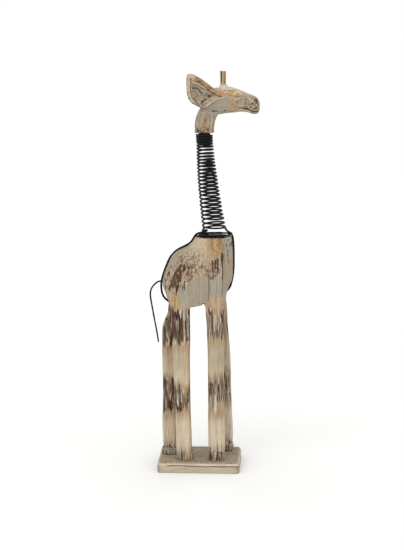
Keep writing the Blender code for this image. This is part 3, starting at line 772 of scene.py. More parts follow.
def body():
    obj = body_block()
    co, normal = points_of(obj)
    x, y, z = co.T
    spot, depth_in, distance = (partial(f, x, z) for f in (blob, inside_depth, line_distance))
    hind, right = x < -2, y < -2
    masks = {
        "hind_right": hind & right, "front_right": ~hind & right,
        "hind_left": hind & ~right, "front_left": ~hind & ~right,
    }
    hind_right, front_right, hind_left, front_left = masks.values()
    sides = ramp(0.15, 0.6, np.abs(normal[:, 1]))
    upright = ramp(0.9, 0.55, np.abs(normal[:, 2]))
    leg = ramp(300, 276, z)

    # Stained bands with ragged ends, and the paler halo round each.
    ends = 7 * layered(co, (3.0, 3.0, 140), 2, 51) + 5 * noise(co, (12, 12, 140), 61)
    from_below, from_above = z + ends, z - ends
    band, halo = np.zeros(len(co)), np.zeros(len(co))
    for name, spans in BANDS.items():
        for low, high, strength in spans:
            inside = ramp(low - 9, low + 9, from_below) * ramp(high + 8, high - 8, from_above) * strength
            around = ramp(low - 24, low, from_below) * ramp(high + 16, high, from_above)
            band = np.where(masks[name], np.maximum(band, inside), band)
            halo = np.where(masks[name], np.maximum(halo, around), halo)
    # The front edges of the left front leg are only rubbed dark.
    band = np.where(front_left & (z > 200), band * ramp(44, 47, x), band)
    # A pale wedge is scraped into the top band of the right front leg. Its lower band stands higher in front.
    band = band - 0.35 * front_right * ramp(0, 3, depth_in(SCRAPED_WEDGE))
    band = np.clip(band - 0.5 * front_right * ramp(26, 34, x) * ramp(130, 118, z) * (z > 90), 0, 1.2)
    halo = halo * np.where(hind, ramp(-12, -17, x), ramp(8, 13, x))
    halo = halo * (1 - hind_right * ramp(-38, -31, x) * ramp(250, 270, z))

    # Tool marks, grain, cracks and frayed ends.
    bend = np.column_stack([x + 1.8 * noise(co, (30, 30, 60), 3), y, z])
    wave = layered(co, (34, 34, 90), 2, 1) * 0.75
    facets = ridged(bend, (8.5, 8.5, 95), 7) - 0.5
    grain = valleys(bend, (3.4, 3.4, 55), 13)
    wrinkles = valleys(co, (5.2, 5.2, 6.4), 91)
    shield = ramp(-1.5, 2.5, depth_in(SHIELD) + 2.4 * layered(co, (4, 4, 22), 2, 71)) * sides
    crackle = ramp(-3.5, 3.5, depth_in(CRACKLE_AREA) + 3.0 * layered(co, (8, 8, 8), 2, 85)) * upright
    crackle = np.maximum(crackle, 0.75 * spot(-52, 338, 10, 28) * upright)
    haunch, cracks, crack_paint = 0, 0, 0
    for i, (half_width, strand) in enumerate(HAUNCH_STRANDS):
        width = half_width * (1 + 1.1 * layered(co, (4, 4, 8), 2, 81 + i))
        haunch = np.maximum(haunch, ramp(width * 1.7, width * 0.3, distance(strand)))
    haunch = haunch * sides * ramp(304, 322, z + 5 * noise(co, (4, 4, 20), 173))
    strands = unit(layered(co, (2.2, 2.2, 10), 2, 171) * 3.4 + 0.3)
    wander = 0.6 * noise(co, (8, 8, 12), 101)
    for line, depth, ink in CRACKS:
        near = bell(line_distance(x + wander, z, line), 0.9) * sides
        cracks = cracks + depth * near
        crack_paint = np.maximum(crack_paint, ink * near)
    feet = ramp(58, 24, z + 16 * layered(co, (3, 3, 60), 2, 111))
    slits = unit(-layered(co, (1.9, 1.9, 60), 2, 121) - 0.04) * 2.6
    frayed = feet * unit(-layered(co, (1.3, 1.3, 45), 2, 123) - 0.03) * 2.6
    # An arch with a cleft under it is carved on the right front hoof.
    arch = unit(1 - np.abs(np.hypot((x - 29.5) / 9.5, (z - 30) / 9.0) - 1) * 6) * (z < 34)
    cleft = unit(1 - np.abs(x - 30.5) / 0.9) * (z < 28)
    toes = unit(arch + cleft) * front_right * sides
    offset = (
        wave + facets * (0.4 + 0.4 * leg) - grain * (0.4 + 0.35 * leg + 0.45 * band)
        - wrinkles * crackle * 0.8 - cracks - frayed * 0.4 - toes * 0.9 - slits * band * 0.35
    )
    offset *= upright * (1 - 0.6 * ramp(TOP_Z - 4, TOP_Z, z))
    co = co + normal * (np.clip(offset, -2.6, 0.5) - 0.1)[:, None]
    co[:, 2] = np.maximum(co[:, 2], FOOT_Z - 0.05)
    set_points(obj, co)

    # Where stain and wash lie, and where painted shade and painted highlights go.
    in_gap = (x > -15) & (x < 9)
    belly = ramp(0, 12, z - np.where(in_gap, 268, 284)) * ramp(350, 322, z) * ramp(-40, -28, x)
    bevel = ramp(38, 41.5, x) * ramp(318, 330, z)
    bevel_streak = bevel * bell(x - 49 - (z - 360) * 0.03, 3.4) * ramp(378, 360, z)
    rump = unit(spot(-44, 366, 18, 22) + spot(-57, 330, 9, 26))
    below_haunch = ramp(-3, 2, depth_in(BELOW_HAUNCH)) * sides
    front_patch = ramp(-2.5, 2, depth_in(FRONT_PATCH)) * sides
    top_right = front_right * ramp(24, 38, x) * ramp(262, 272, z) * ramp(300, 284, z)
    scribble = ramp(0.45, 0.8, wrinkles) * front_right * ramp(52, 36, z)
    recess = grain * (0.3 + 0.8 * band) + wrinkles * crackle * 0.5 + frayed * 0.3 + cracks * 0.6 + toes * 0.6
    spotted = unit(layered(co, (3.0, 3.0, 4.5), 3, 151) * 3.2 - 0.3)
    # Painted shadow on the walls inside the saw slit.
    slit_wall = ramp(288.5, 290.5, z) * ramp(296, 294.2, z) * ramp(3, 5, x) * ramp(9.6, 8, x)
    # Painted shade: a dark line along the carved notch at the top of the left hind hoof.
    ledge = bell(z - 28.6, 1.3) * hind_left * upright
    speckles = spotted * (
        0.75 * spot(-19, 350, 8, 9) + 0.5 * rump + 0.55 * spot(-57, 335, 9, 26) + 0.5 * spot(26, 362, 9, 10)
    )
    blots = speckles + 0.9 * spot(38.2, 372, 2.4, 9) + 0.14 * spot(-57, 335, 9, 26)
    blots = blots + 0.5 * strands * spot(-31, 335, 7, 14)
    islands = crackle * (1 - wrinkles) * unit(noise(co, (7, 7, 9), 161) * 2.4)
    painted_top = ramp(TOP_Z - 1.6, TOP_Z - 0.5, z + 0.4 * noise(co, 5, 141))
    paint(
        obj,
        # cavity: painted shade in the tool marks, grain, cracks and recesses, and a painted highlight on the
        # raised facets.
        cavity=np.clip(0.4 + facets * 0.6 - recess * 1.6, -1, 1),
        band=band,
        orange=unit(
            0.75 * shield * (0.5 + 0.6 * ramp(8, 30, x)) + 0.4 * halo * (1 - band) + 0.9 * below_haunch
            + 0.7 * front_patch + 0.5 * bevel_streak + 0.8 * top_right
            + 0.4 * hind_right * ramp(-28, -18, x) * leg * (1 - feet) * (x < -13) * ramp(236, 222, z)
            + 0.7 * hind_right * ramp(-26, -20, x) * ramp(42, 30, z) * sides
        ),
        grey=unit(
            0.85 * belly + 0.75 * bevel * (1 - bevel_streak) + 0.6 * rump + 0.65 * feet + 0.4 * crackle
            + 0.45 * ramp(0, 8, y) * leg + 0.35 * hind_right * spot(-38, 190, 5, 60)
            + 0.3 * front_right * ramp(36, 42, x)
        ),
        crackle=np.maximum(crackle * (1 - 0.85 * shield), 0.75 * front_right * ramp(48, 30, z)),
        dark=unit(
            haunch * (0.42 + 0.72 * strands) + crack_paint + frayed * (0.4 + 0.2 * hind_left) + feet * 0.26
            + scribble * 0.2 + toes * 0.28 + blots * sides + 0.5 * spotted * bevel * ramp(352, 368, z)
            + slit_wall + 0.6 * ledge + 0.4 * ramp(TOP_Z - 4, TOP_Z - 1.2, z) * ramp(44, 38, x)
        ),
        cream=unit(
            0.5 * shield * ramp(22, 2, x) + 0.25 * front_patch + 0.4 * spot(-10, 392, 9, 9)
            + (0.45 * ramp(200, 150, z) * (1 - feet) + 0.2 * leg) * (1 - halo) + 0.6 * islands * (1 - shield)
        ),
        # Painted shade on the downward faces, and darker tone on the rump and the stained shoulders.
        shade=unit(0.35 * ramp(0.5, 0.9, -normal[:, 2]) + 0.5 * rump + 0.3 * shield),
        black=painted_top * (1 - ramp(42, 45, x) * ramp(0.7, 0.9, normal[:, 2])),
    )
    fit(obj, WOOD_UP, "stand", "whitewashed_wood", "body_with_legs")


# ---- Wires ----
# The axis of each contour wire: x and z
BACK_WIRE = [
    (3.0, 411.0), (-2.5, 410.0), (-6.8, 407.6), (-10.2, 403.0), (-14.0, 396.8), (-19.0, 392.0),
    (-27.4, 387.2), (-36.6, 382.4), (-44.0, 376.4), (-50.8, 367.9), (-56.2, 357), (-60.6, 345.4),
    (-64.2, 333.6), (-65.8, 324), (-66.2, 315), (-65.3, 307.5), (-62.8, 301), (-58.9, 296.2),
    (-54.5, 292.8), (-46, 288.8),
]
CHEST_WIRE = [
    (41.6, 420.6), (44.4, 416.2), (47.8, 412.8), (52.4, 410.2), (55.2, 404), (56.2, 396), (57.0, 385),
    (57.5, 368), (57.3, 351), (56.2, 338), (53.8, 326), (51.2, 318.5), (47.6, 313), (38, 304.5),
]
TAIL = [
    (-65.0, 327.6), (-68.4, 326.9), (-72.6, 325.4), (-78.2, 320.7), (-82.8, 314.5), (-85.0, 307),
    (-84.7, 297), (-82.3, 282), (-79.1, 264), (-76, 247), (-73, 229), (-71.6, 220.4),
]
BACK_WIRE_R, CHEST_WIRE_R = 1.8, 1.75
RING_X, RING_Z, RING_LENGTH_R, RING_DEPTH_R = 25.0, 408.2, 26.2, 20.2
DISC_X = 22.0  # the disc inside the ring, as rows of radius and height
DISC = ((17.2, 405.4), (17.5, 405.8), (17.5, 407.1), (16.9, 407.7), (13, 407.75), (6, 407.6), (1.5, 407.55))
# Weld beads where wires meet: place and half sizes
BEADS = {
    "coil_foot": ((6.6, -5.0, 412.6), (4.2, 3.8, 4.6)), "coil_toe": ((9.5, -5.0, 409.8), (6.0, 4.2, 2.6)),
    "coil_knot": ((10.0, -5.2, 415.4), (3.8, 3.0, 2.3)), "back_start": ((0.6, 0.0, 409.6), (4.0, 2.8, 2.4)),
    "chest_start": ((50.4, 0.0, 410.0), (3.4, 2.6, 2.8)), "tail_root": ((-65.6, 0.0, 327.2), (1.9, 2.2, 2.4)),
}


def hand_bent(route, sway, seed):
    """A wire's path through (x, z) points, wandering a little out of the plane y = 0."""
    path = smooth_path([(x, 0.0, z) for x, z in route], 10)
    path[:, 1] += sway * noise(path + seed * 11.0, 38, seed)
    path[:, 0] += 0.25 * noise(path + seed * 5.0, 17, seed + 3)
    return path


def contour_wires():
    back = tube("back_contour_wire", hand_bent(BACK_WIRE, 0.8, 3), BACK_WIRE_R, wobble=0.10, seed=3)
    fit(back, WIRE, "stand", "black_wire", "back_wire")
    chest = tube("chest_contour_wire", hand_bent(CHEST_WIRE, 0.8, 5), CHEST_WIRE_R, wobble=0.10, seed=5)
    fit(chest, WIRE, "stand", "black_wire", "chest_wire")
    path = hand_bent(TAIL, 0.6, 7)
    radii = np.interp(np.linspace(0, 1, len(path)), (0, 0.06, 0.5, 1), (1.7, 1.45, 1.4, 1.35))
    fit(tube("tail_contour_wire", path, radii, 10, 0.16, 7), WIRE, "stand", "black_wire", "tail_wire")


def collar():
    mesh = bmesh.new()
    loops = []
    for a in np.linspace(0, 2 * math.pi, 120, endpoint=False):
        c, s = math.cos(a), math.sin(a)
        oval = Vector((RING_LENGTH_R * c, RING_DEPTH_R * s, 0)) * (1 + 0.012 * math.sin(2 * a + 0.4))
        centre = Vector((RING_X, 0, RING_Z + 0.25 * math.sin(3 * a))) + oval
        bump = 1 + 0.09 * math.sin(5 * a + 1) + 0.06 * math.sin(11 * a)
        section = superellipse(1.6, 1.65, 2, 12)
        loops.append([mesh.verts.new((centre + Vector((c * p, s * p, q)) * bump) * MM) for p, q in section])
    for low, high in zip(loops, loops[1:] + loops[:1]):
        bridge(mesh, low, high)
    fit(mesh_object("collar_wire_ring", mesh, smooth=True), WIRE, "stand", "black_wire", "collar_ring")

    mesh = bmesh.new()
    rings = []
    for r, z in DISC:
        outline = enumerate(superellipse(r, r, 2, 72))
        rings.append([(DISC_X + a * (1 + 0.012 * math.sin(3 * i)), b, z) for i, (a, b) in outline])
    add_loft(mesh, rings)
    fit(mesh_object("neck_foot_disc", mesh, smooth=True), WIRE, "stand", "black_wire", "neck_foot_plate")

    for name, (at, size) in BEADS.items():
        mesh = bmesh.new()
        bmesh.ops.create_icosphere(mesh, subdivisions=4, radius=1.0)
        points = np.array([v.co for v in mesh.verts])
        lumps = 1 + 0.22 * layered(points * 4 + at[0], 3.0, 2, 9)
        for vert, place_on in zip(mesh.verts, np.array(at) + points * np.array(size) * lumps[:, None]):
            vert.co = place_on * MM
        fit(mesh_object("weld_bead_" + name, mesh, smooth=True), WIRE, "stand", "black_wire")


COIL_BOTTOM, COIL_OPEN_TOP, COIL_TOP = 417.2, 563.0, 575.6
COIL_BOTTOM_R, COIL_TOP_R, COIL_WIRE_R = 18.9, 12.7, 1.6
OPEN_TURNS, TIGHT_TURNS = 24, 4
BOTTOM_PITCH = 7.2
TURN_STEPS = 44
NECK_FOOT_X, NECK_LEAN, NECK_CURVE = 24.4, 0.165, 0.056
# How much lower the turns hang on the right side, as a share of their radius, by height
DROOP_Z = (COIL_BOTTOM, 495, 515, 538, 564, COIL_TOP)
DROOP = (0.055, 0.11, 0.105, 0.06, 0.055, 0.02)
MID_Z = 492.0


def neck_axis_x(z):
    rise = COIL_TOP - COIL_BOTTOM
    share = (z - COIL_BOTTOM) / rise
    return NECK_FOOT_X - rise * (NECK_LEAN * share - NECK_CURVE * share**2)


def neck_coil():
    """The left-handed hand-wound coil, split at mid height into a lower and an upper piece."""
    turn = np.arange((OPEN_TURNS + TIGHT_TURNS) * TURN_STEPS + 1) / TURN_STEPS
    open_part = np.minimum(turn, OPEN_TURNS)
    # The turns draw closer together upwards, then lie tight round the peg.
    closing = (BOTTOM_PITCH - (COIL_OPEN_TOP - COIL_BOTTOM) / OPEN_TURNS) / OPEN_TURNS
    z = COIL_BOTTOM + BOTTOM_PITCH * open_part - closing * open_part**2
    z += (COIL_TOP - COIL_OPEN_TOP) * np.maximum(0, turn - OPEN_TURNS) / TIGHT_TURNS
    share = np.minimum(1, (z - COIL_BOTTOM) / (COIL_OPEN_TOP - COIL_BOTTOM))
    strip = np.column_stack([turn, turn * 0, turn * 0])
    loose = unit((OPEN_TURNS - turn) / 2)
    radius = COIL_BOTTOM_R + (COIL_TOP_R - COIL_BOTTOM_R) * share + loose * 0.35 * noise(strip, 0.7, 5)
    angle = math.pi - 2 * math.pi * turn
    across = radius * np.sin(angle)
    lift = loose * unit(turn * 2) * 0.5 * noise(strip, 0.9, 17)
    lift += loose * (0.45 * np.cos(angle) + 0.25 * np.sin(angle + 1)) + np.interp(z, DROOP_Z, DROOP) * across
    path = np.column_stack([neck_axis_x(z) + radius * np.cos(angle), across, z + lift])
    # The lowest turn runs down to a foot on the disc.
    start = path[0]
    foot = np.array([start[0] + 0.8, -6.8, 408.2])
    lead = smooth_path([foot, foot + (-0.6, 1.0, 3.4), start + (0.4, -3.4, -3.0), start, path[6]], 6)[:-6]
    path = np.vstack([lead[:-1], path])
    split = len(lead) + int(np.searchsorted(z, MID_Z))
    for name, part, low_body, high_body, low_z, high_z in (
        ("neck_coil_lower", path[: split + 1], "stand", "neck", COIL_BOTTOM + 1, MID_Z),
        ("neck_coil_upper", path[split:], "neck", "head", MID_Z, COIL_OPEN_TOP),
    ):
        obj = tube(name, part, COIL_WIRE_R, 10, 0.05, 11)
        obj.data.materials.append(WIRE)
        start, end = ((neck_axis_x(at) * MM, 0, at * MM) for at in (low_z, high_z))
        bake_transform(obj)
        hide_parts("neck_coil")


# ---- Head ----
# x, lowest z, highest z, half width
SKULL = [
    (6, 616, 640, 11.0), (12, 610, 647.5, 16.0), (18, 608.5, 651.2, 18.0), (23, 608, 652.6, 18.8),
    (32, 609, 653.4, 19.6), (42, 610.6, 654.6, 19.6), (50, 611.4, 654.6, 18.8), (57, 612.2, 653.0, 17.6),
    (64, 613.0, 650.2, 16.0), (71, 613.4, 647.6, 14.4), (79, 612.4, 644.0, 12.6), (87, 609.6, 641.0, 12.2),
    (93, 609.6, 638.2, 11.4), (97, 611.8, 633.4, 9.2), (99.3, 616.5, 627.4, 4.5),
]
# z, rear x, front x, half width
STUB = [
    (586, -8.8, 24, 15.5), (592, -9, 24.5, 15.8), (600, -8, 26, 16), (610, -5, 30.5, 15.5),
    (620, 0, 33, 14), (630, 6, 30, 11),
]
EAR = [
    (-20.5, 674.5), (-21.3, 664), (-21.3, 652), (-19.5, 640), (-14.5, 630), (-6, 624), (2, 620.6),
    (8, 620.0), (13, 622.5), (22, 629), (31, 634.4), (41, 638.5), (46, 643), (38, 649), (27, 649.8),
    (17, 656), (4, 665.5), (-8, 672.6), (-15.5, 675.5),
]
HOLLOW = [
    (-12.2, 661.5), (-12.4, 650), (-11, 640), (-7.5, 632.5), (-2, 627.2), (5, 629.8), (14, 635),
    (22, 638.6), (33, 638.4), (22, 645), (10, 651.2), (-1, 657),
]
EAR_ROOT_X, EAR_ROOT_Y, EAR_FLARE, EAR_THICK = 38.0, 14.5, 0.19, 8.0
# Carved lines on the ear, and the lip where it joins the cheek
EAR_BAND = [(-8.5, 668.5), (0, 663.5), (10, 658), (19, 651.5), (29, 646)]
EAR_BAND_LOW = [(-10.5, 664.5), (-1, 661.5), (9, 655.5), (14, 650), (21.5, 645), (29, 641.2), (36, 638.6)]
EAR_RIM = [(-13.2, 667), (-14.0, 654), (-13.8, 647), (-11.6, 637.6), (-6.6, 630.6), (-0.6, 625.6)]
LIP_LOW = [(12, 622.7), (14.4, 626.2), (20.3, 630.1), (28.7, 635.2), (35.6, 636.4), (40, 637.2)]
LIP_HIGH = [(4, 630), (12, 635), (20, 639), (33, 639.6)]
EAR_FOLD = [(6.2, 641.5), (14.7, 641.5), (20.4, 639.4), (11.9, 635.9), (6.2, 631.0)]
EAR_WIGGLE = [(-10.8, 652.0), (-5.1, 652.2), (-0.9, 650.6), (1.3, 646.4), (4.8, 644.3)]
GOLD_BAND = [
    (-14, 671), (-10, 665), (0, 661), (9, 654.5), (14, 650), (22, 645), (30, 641.5), (38, 640),
    (46, 641.5), (54, 640.5), (55, 646), (46, 648.5), (36, 650), (27, 651), (17, 657), (4, 665.5),
    (-6, 671),
]
# The face
EYE_X, EYE_Z = 61.3, 642.6
UPPER_LID = [(56.9, 642.4), (58.8, 645.2), (62.2, 646.4), (65.6, 645.2), (67.2, 642.8)]
LOWER_LID = [(58.5, 636.4), (61.1, 635.4), (64, 635.2), (66.4, 636.2)]
UNDER_EYE = [(57.5, 639.0), (61, 637.8), (65, 637.9), (68, 639.6)]
TEMPLE_X, TEMPLE_Z = 41.4, 648.7
MOUTH = [(64.1, 619.8), (70.5, 619.4), (77.9, 617.6), (85.3, 614.8), (92, 613.4), (98, 613.2)]
LIP = [(66.1, 617.3), (75.5, 616.6), (82.9, 614.2), (91, 611.8)]
NOSE_RIDGE = [(80, 637), (86, 632.7), (93, 629), (97, 624)]
BROW = [(56, 650.2), (62, 649.4), (70, 647.0)]
HORN_X, HORN_Y = 38.3, 9.5
# Rows of radius and height
HORN_ROOT = ((8.6, 646), (7.7, 651), (6.6, 654.5), (5.9, 658.0))
HORN = ((4.2, 643.6), (4.7, 650), (4.8, 656), (4.75, 664), (4.8, 674), (4.9, 678.6), (4.5, 679.8))
PEG_X, PEG_BORE = 7.2, ((10.3, 570), (10.3, 598.3))
# The carved head keeps inside these limits along x, y and z.
HEAD_LIMITS = ((-21.9, 99.5), (-29.7, 29.7), (575.6, 676.3))


def ear_side(x):
    return EAR_ROOT_Y + (EAR_ROOT_X - x) * EAR_FLARE


def head_block():
    """Skull, ears, horn roots and neck stub as one block, less the horns' sockets and the peg's bore."""
    mesh = bmesh.new()
    add_loft(mesh, [
        [(x, a, (low + high) / 2 + b) for a, b in superellipse(half_width, (high - low) / 2, 2.5, 48)]
        for x, low, high, half_width in table(SKULL, 1.5)
    ])
    ragged_end = []
    for a, b in superellipse(16.2, 14.9, 2.4, 72):
        at = np.array([[a, b, 0.0]])
        teeth = noise(at, (2.6, 2.6, 9), 5)[0] * 1.7 + noise(at, (6, 6, 9), 9)[0] * 0.8
        ragged_end.append((7.8 + a, b, 578.2 + a * 0.06 + max(-1.6, teeth)))
    add_loft(mesh, [ragged_end] + [
        [((rear + front) / 2 + a, b, z) for a, b in superellipse((front - rear) / 2, half_width, 2.4, 72)]
        for z, rear, front, half_width in table(STUB, 2.0)
    ])
    outline = smooth_path([*EAR, EAR[0]], 3)[:-1]
    cutters = []
    for sign in (-1, 1):
        add_loft(mesh, [
            [(x, sign * (ear_side(x) + depth), z) for x, z in outline]
            for depth in (-EAR_THICK / 2, EAR_THICK / 2)
        ])
        # Tapered swelling that the horn grows out of.
        add_loft(mesh, [
            [(HORN_X + 0.7 + a, sign * HORN_Y + b, z) for a, b in superellipse(r * 1.1, r, 2, 20)]
            for r, z in HORN_ROOT
        ])
        cutters.append(upright_bore("horn_socket", HORN_X, sign * HORN_Y, ((5.0, 645), (5.0, 664))))
    cutters.append(upright_bore("peg_bore", PEG_X, 0, PEG_BORE, 40))
    return reskinned("carved_head_with_ears", mesh, cutters, voxel=0.68, smoothing=3)


def head():
    obj = head_block()
    co, normal = points_of(obj)
    x, y, z = co.T
    spot, depth_in = partial(blob, x, z), partial(inside_depth, x, z)

    def line(points, width):
        return bell(line_distance(x, z, points), width)

    # The ear's plate reaches forward as the cheek's lip, so its front end fades into the skull.
    facing = ramp(0.25, 0.7, normal[:, 1] * np.sign(y))
    rim_in = depth_in(EAR)
    on_ear = ramp(-1.0, 0.5, rim_in) * ramp(-3.5, -1.0, np.abs(y) - ear_side(x)) * facing * ramp(44, 36, x)
    deep = ramp(-0.4, 2.4, depth_in(HOLLOW)) * on_ear
    outer_ear = on_ear * (1 - deep)
    side = facing * (1 - on_ear)
    groove_left = line(EAR_RIM, 1.3) * on_ear
    band_grooves = (0.8 * line(EAR_BAND, 0.8) + line(EAR_BAND_LOW, 0.9)) * outer_ear
    folds = line(EAR_FOLD, 1.0) * deep
    lip_edge = line(LIP_LOW, 1.1) * facing
    lip_shadow = line([(px + 1.6, pz - 2.6) for px, pz in LIP_LOW], 1.3) * side

    ex, ez = x - EYE_X, z - EYE_Z
    eye_r = np.hypot(ex / 5.6, (ez + 0.1 * ex) / 4.4)
    eye_ball = np.sqrt(unit(1 - (eye_r / 0.8) ** 2))
    eye_rim = bell(eye_r - 0.82, 0.10) * (ez < 2)
    upper_lid, lower_lid, under_eye = line(UPPER_LID, 0.95), line(LOWER_LID, 0.8), line(UNDER_EYE, 1.0)
    corner = spot(55.2, 642.2, 1.5, 3.0)
    temple = spot(TEMPLE_X, TEMPLE_Z, 3.0, 2.4)
    temple_rim = bell(np.hypot((x - TEMPLE_X) / 3.2, (z - TEMPLE_Z) / 2.7) - 1, 0.3)
    mouth, lip, nose_ridge, brow = line(MOUTH, 0.9), line(LIP, 1.0), line(NOSE_RIDGE, 1.4), line(BROW, 1.6)
    nostril = spot(93.5, 630.5, 2.0, 1.5)
    jaw_spots = spot(22.6, 614.7, 2.4, 1.6) + spot(27.4, 614.5, 2.0, 1.3) + spot(41.5, 615.3, 2.2, 1.3)
    muzzle = ramp(50, 60, x) * ramp(642, 636, z)

    stub = ramp(616, 604, z) * ramp(36, 30, x)
    face_grain = valleys(co, (14, 2.8, 2.8), 3) * (1 - stub)
    stub_grain = valleys(co, (3.0, 3.0, 36), 13) * stub
    facets = (ridged(co, 9, 7) - 0.5) * (1 - stub) + (ridged(co, (6.5, 6.5, 60), 17) - 0.5) * 1.6 * stub
    mottle = valleys(co, (3.6, 3.6, 3.2), 23)
    inner_ear = valleys(co, (4.2, 4.2, 3.6), 29) * deep
    frayed = unit(-layered(co, (2.4, 2.4, 20), 2, 31) - 0.02) * 2 * ramp(594, 578, z) * stub
    offset = (
        facets * 0.45 - face_grain * 0.28 - stub_grain * 0.45 - frayed * 1.2
        - 3.6 * deep - groove_left - 0.8 * band_grooves + 0.9 * folds - 0.35 * inner_ear
        + 0.8 * lip_edge - 0.6 * lip_shadow
        + side * (
            1.5 * eye_ball + upper_lid - 0.6 * eye_rim - 0.5 * under_eye + 0.6 * lower_lid - 0.7 * corner
            + 0.5 * temple + 0.6 * temple_rim - 1.1 * mouth + 0.6 * lip - 0.7 * jaw_spots - 1.3 * nostril
            + 0.55 * nose_ridge + 0.5 * brow - 0.45 * mottle * muzzle
        )
    )
    co = co + normal * (offset - 0.1)[:, None]
    for axis, (low, high) in enumerate(HEAD_LIMITS):
        co[:, axis] = np.clip(co[:, axis], low, high)
    set_points(obj, co)

    # Where stain and wash lie, and where painted shade and painted highlights go.
    gold_band = ramp(-2.0, 1.5, depth_in(GOLD_BAND)) * np.maximum(facing, ramp(0.2, 0.6, normal[:, 2]) * 0.5)
    outer_wood = outer_ear * (1 - gold_band) * ramp(-6, 4, x)
    crown = ramp(648.5, 652.5, z) * ramp(26, 34, x) * ramp(62, 54, x)
    blots = unit(layered(co, (3.6, 3.6, 2.8), 3, 47) * 3.4 - 0.15)
    ear_blots = unit(layered(co, (4.0, 4.0, 3.4), 3, 37) * 3.2 - 0.2)
    chalk_blots = unit(layered(co, (4, 4, 3.4), 2, 73) * 3)
    muzzle_end = muzzle * ramp(66, 76, x)
    # recess and raised feed cavity: painted shade in the grooves, mouth, nostril and jaw spots, and a painted
    # highlight on the lids, temple rim, lip, nose ridge and the ear lip's edge.
    recess = face_grain * 0.35 + stub_grain * 0.6 + frayed * 0.7 + 0.35 * inner_ear
    recess = recess + 0.6 * (groove_left + band_grooves) + side * (
        0.3 * eye_rim + 0.3 * under_eye + 0.2 * corner + 0.8 * mouth + 0.6 * jaw_spots + 0.8 * nostril
        + (0.3 + 0.35 * ramp(66, 76, x)) * mottle * muzzle
    )
    raised = side * (upper_lid + 0.8 * lower_lid + temple_rim + 0.8 * lip + 0.8 * nose_ridge) + lip_edge
    outer_edge = ramp(2.6, 0.8, rim_in) * ramp(-3.0, -1.0, rim_in) * ramp(12, 2, x) * ramp(674, 668, z)
    paint(
        obj,
        cavity=np.clip(0.3 + facets * 0.4 - recess * 1.4 + raised * 0.6, -1, 1),
        orange=unit(
            gold_band * (1 - deep) + groove_left + 0.4 * line(LIP_HIGH, 1.2) * on_ear
            + side * (
                0.7 * spot(51.7, 643.7, 4, 3) + 0.7 * spot(52.5, 617, 7, 5) + 0.3 * spot(53, 627, 7, 12)
                + 0.8 * ramp(0.75, 0.5, eye_r) + 0.4 * ramp(1.5, 1.2, eye_r) + 0.35 * spot(84, 620, 10, 6)
                + 0.45 * muzzle * unit(noise(co, (6, 6, 6), 59) * 2)
            ) + 0.8 * spot(10.5, 598, 3.6, 14) * stub * facing
        ),
        dark=unit(
            on_ear * (
                0.4 * line(EAR_BAND_LOW, 1.1) + 0.3 * line(EAR_BAND, 1.0)
                + 0.4 * line(LIP_HIGH, 1.1) * ramp(636, 632, z)
            ) + side * (
                0.2 * (eye_rim + under_eye) + 0.15 * corner + 0.45 * mouth + 0.6 * (nostril + jaw_spots)
                + 0.12 * spot(62.6, 643.0, 3.0, 1.4) + 0.4 * spot(88, 610.5, 8, 1.6)
                + 0.5 * spot(60.0, 621, 1.2, 3) + 0.35 * spot(54, 635, 1.0, 3)
                + 0.3 * (spot(68, 649.5, 9, 2.6) + spot(96, 617, 5, 4) + spot(94, 633.5, 6, 3.2))
                + 0.3 * line([(60, 634.3), (66, 634.0)], 0.8) + 0.3 * blots * spot(58, 626, 7, 10)
                + 0.55 * muzzle_end * blots * ramp(636, 630, z)
            )
            + 0.75 * line(EAR_WIGGLE, 1.3) * deep + 0.35 * folds + 0.7 * deep * ear_blots * ramp(646, 634, z)
            + (0.2 + 0.4 * blots) * stub * ramp(594, 579, z) + 0.12 * blots * stub
            + 0.55 * outer_edge * unit(0.6 + noise(co, (5, 5, 5), 53) * 2) + 0.6 * frayed
            + (0.12 + 0.35 * blots) * outer_wood
        ),
        grey=unit(
            0.85 * deep + spot(93, 635, 8, 5) + 0.35 * stub + 0.4 * on_ear * (1 - gold_band)
            + side * (
                0.75 * ramp(56, 50, x) * ramp(602, 610, z) + 0.6 * brow + 0.5 * muzzle
                + 0.7 * ramp(58, 64, x) * ramp(618, 613, z)
            )
        ),
        cream=unit(
            # Painted highlights on the raised lids, temple rim, lip and nose ridge, with the cream ring of
            # the eye and cream blots on the muzzle.
            side * (
                1.4 * upper_lid + 0.7 * bell(eye_r - 0.8, 0.2) + 0.7 * lip + 0.8 * nose_ridge
                + 0.9 * (lower_lid + temple_rim + muzzle * ramp(64, 74, x) * chalk_blots)
            )
            # A painted highlight along the lower edge of the ear's lip, pale wash on the ear's left rim,
            # cream on the crown that is partly pale wash and partly a painted highlight, and a painted
            # highlight on upward faces.
            + 0.95 * lip_edge + 0.45 * ramp(-4, -10, x) * outer_ear * (1 - groove_left) + 0.95 * crown
            + 0.4 * ramp(0.5, 0.9, normal[:, 2]) * ramp(12, 24, x) * ramp(92, 84, x)
            + 0.35 * stub * unit(noise(co, (7, 7, 9), 67) * 2) + 0.3 * frayed
        ),
        crackle=unit(0.35 * deep * ramp(650, 640, z) + 0.4 * outer_wood + 0.45 * side * muzzle_end),
        # Painted shade in the ear hollow, and the dark of the nose pad.
        shade=unit(0.25 * deep + spot(93, 635, 7, 4)),
    )
    # The grain stands upright in the neck stub and lies level in the head.
    obj.data.materials.append(WOOD_FLAT)
    upright = (z < 608) & (x < 34)
    corners = np.empty(len(obj.data.polygons) * 4, np.int64)
    obj.data.polygons.foreach_get("vertices", corners)
    grain_slot = upright[corners.reshape(-1, 4)[:, 0]].astype(np.int32)
    fit(obj, WOOD_UP, "head", "whitewashed_wood", "head_block")
    obj.data.polygons.foreach_set("material_index", grain_slot)


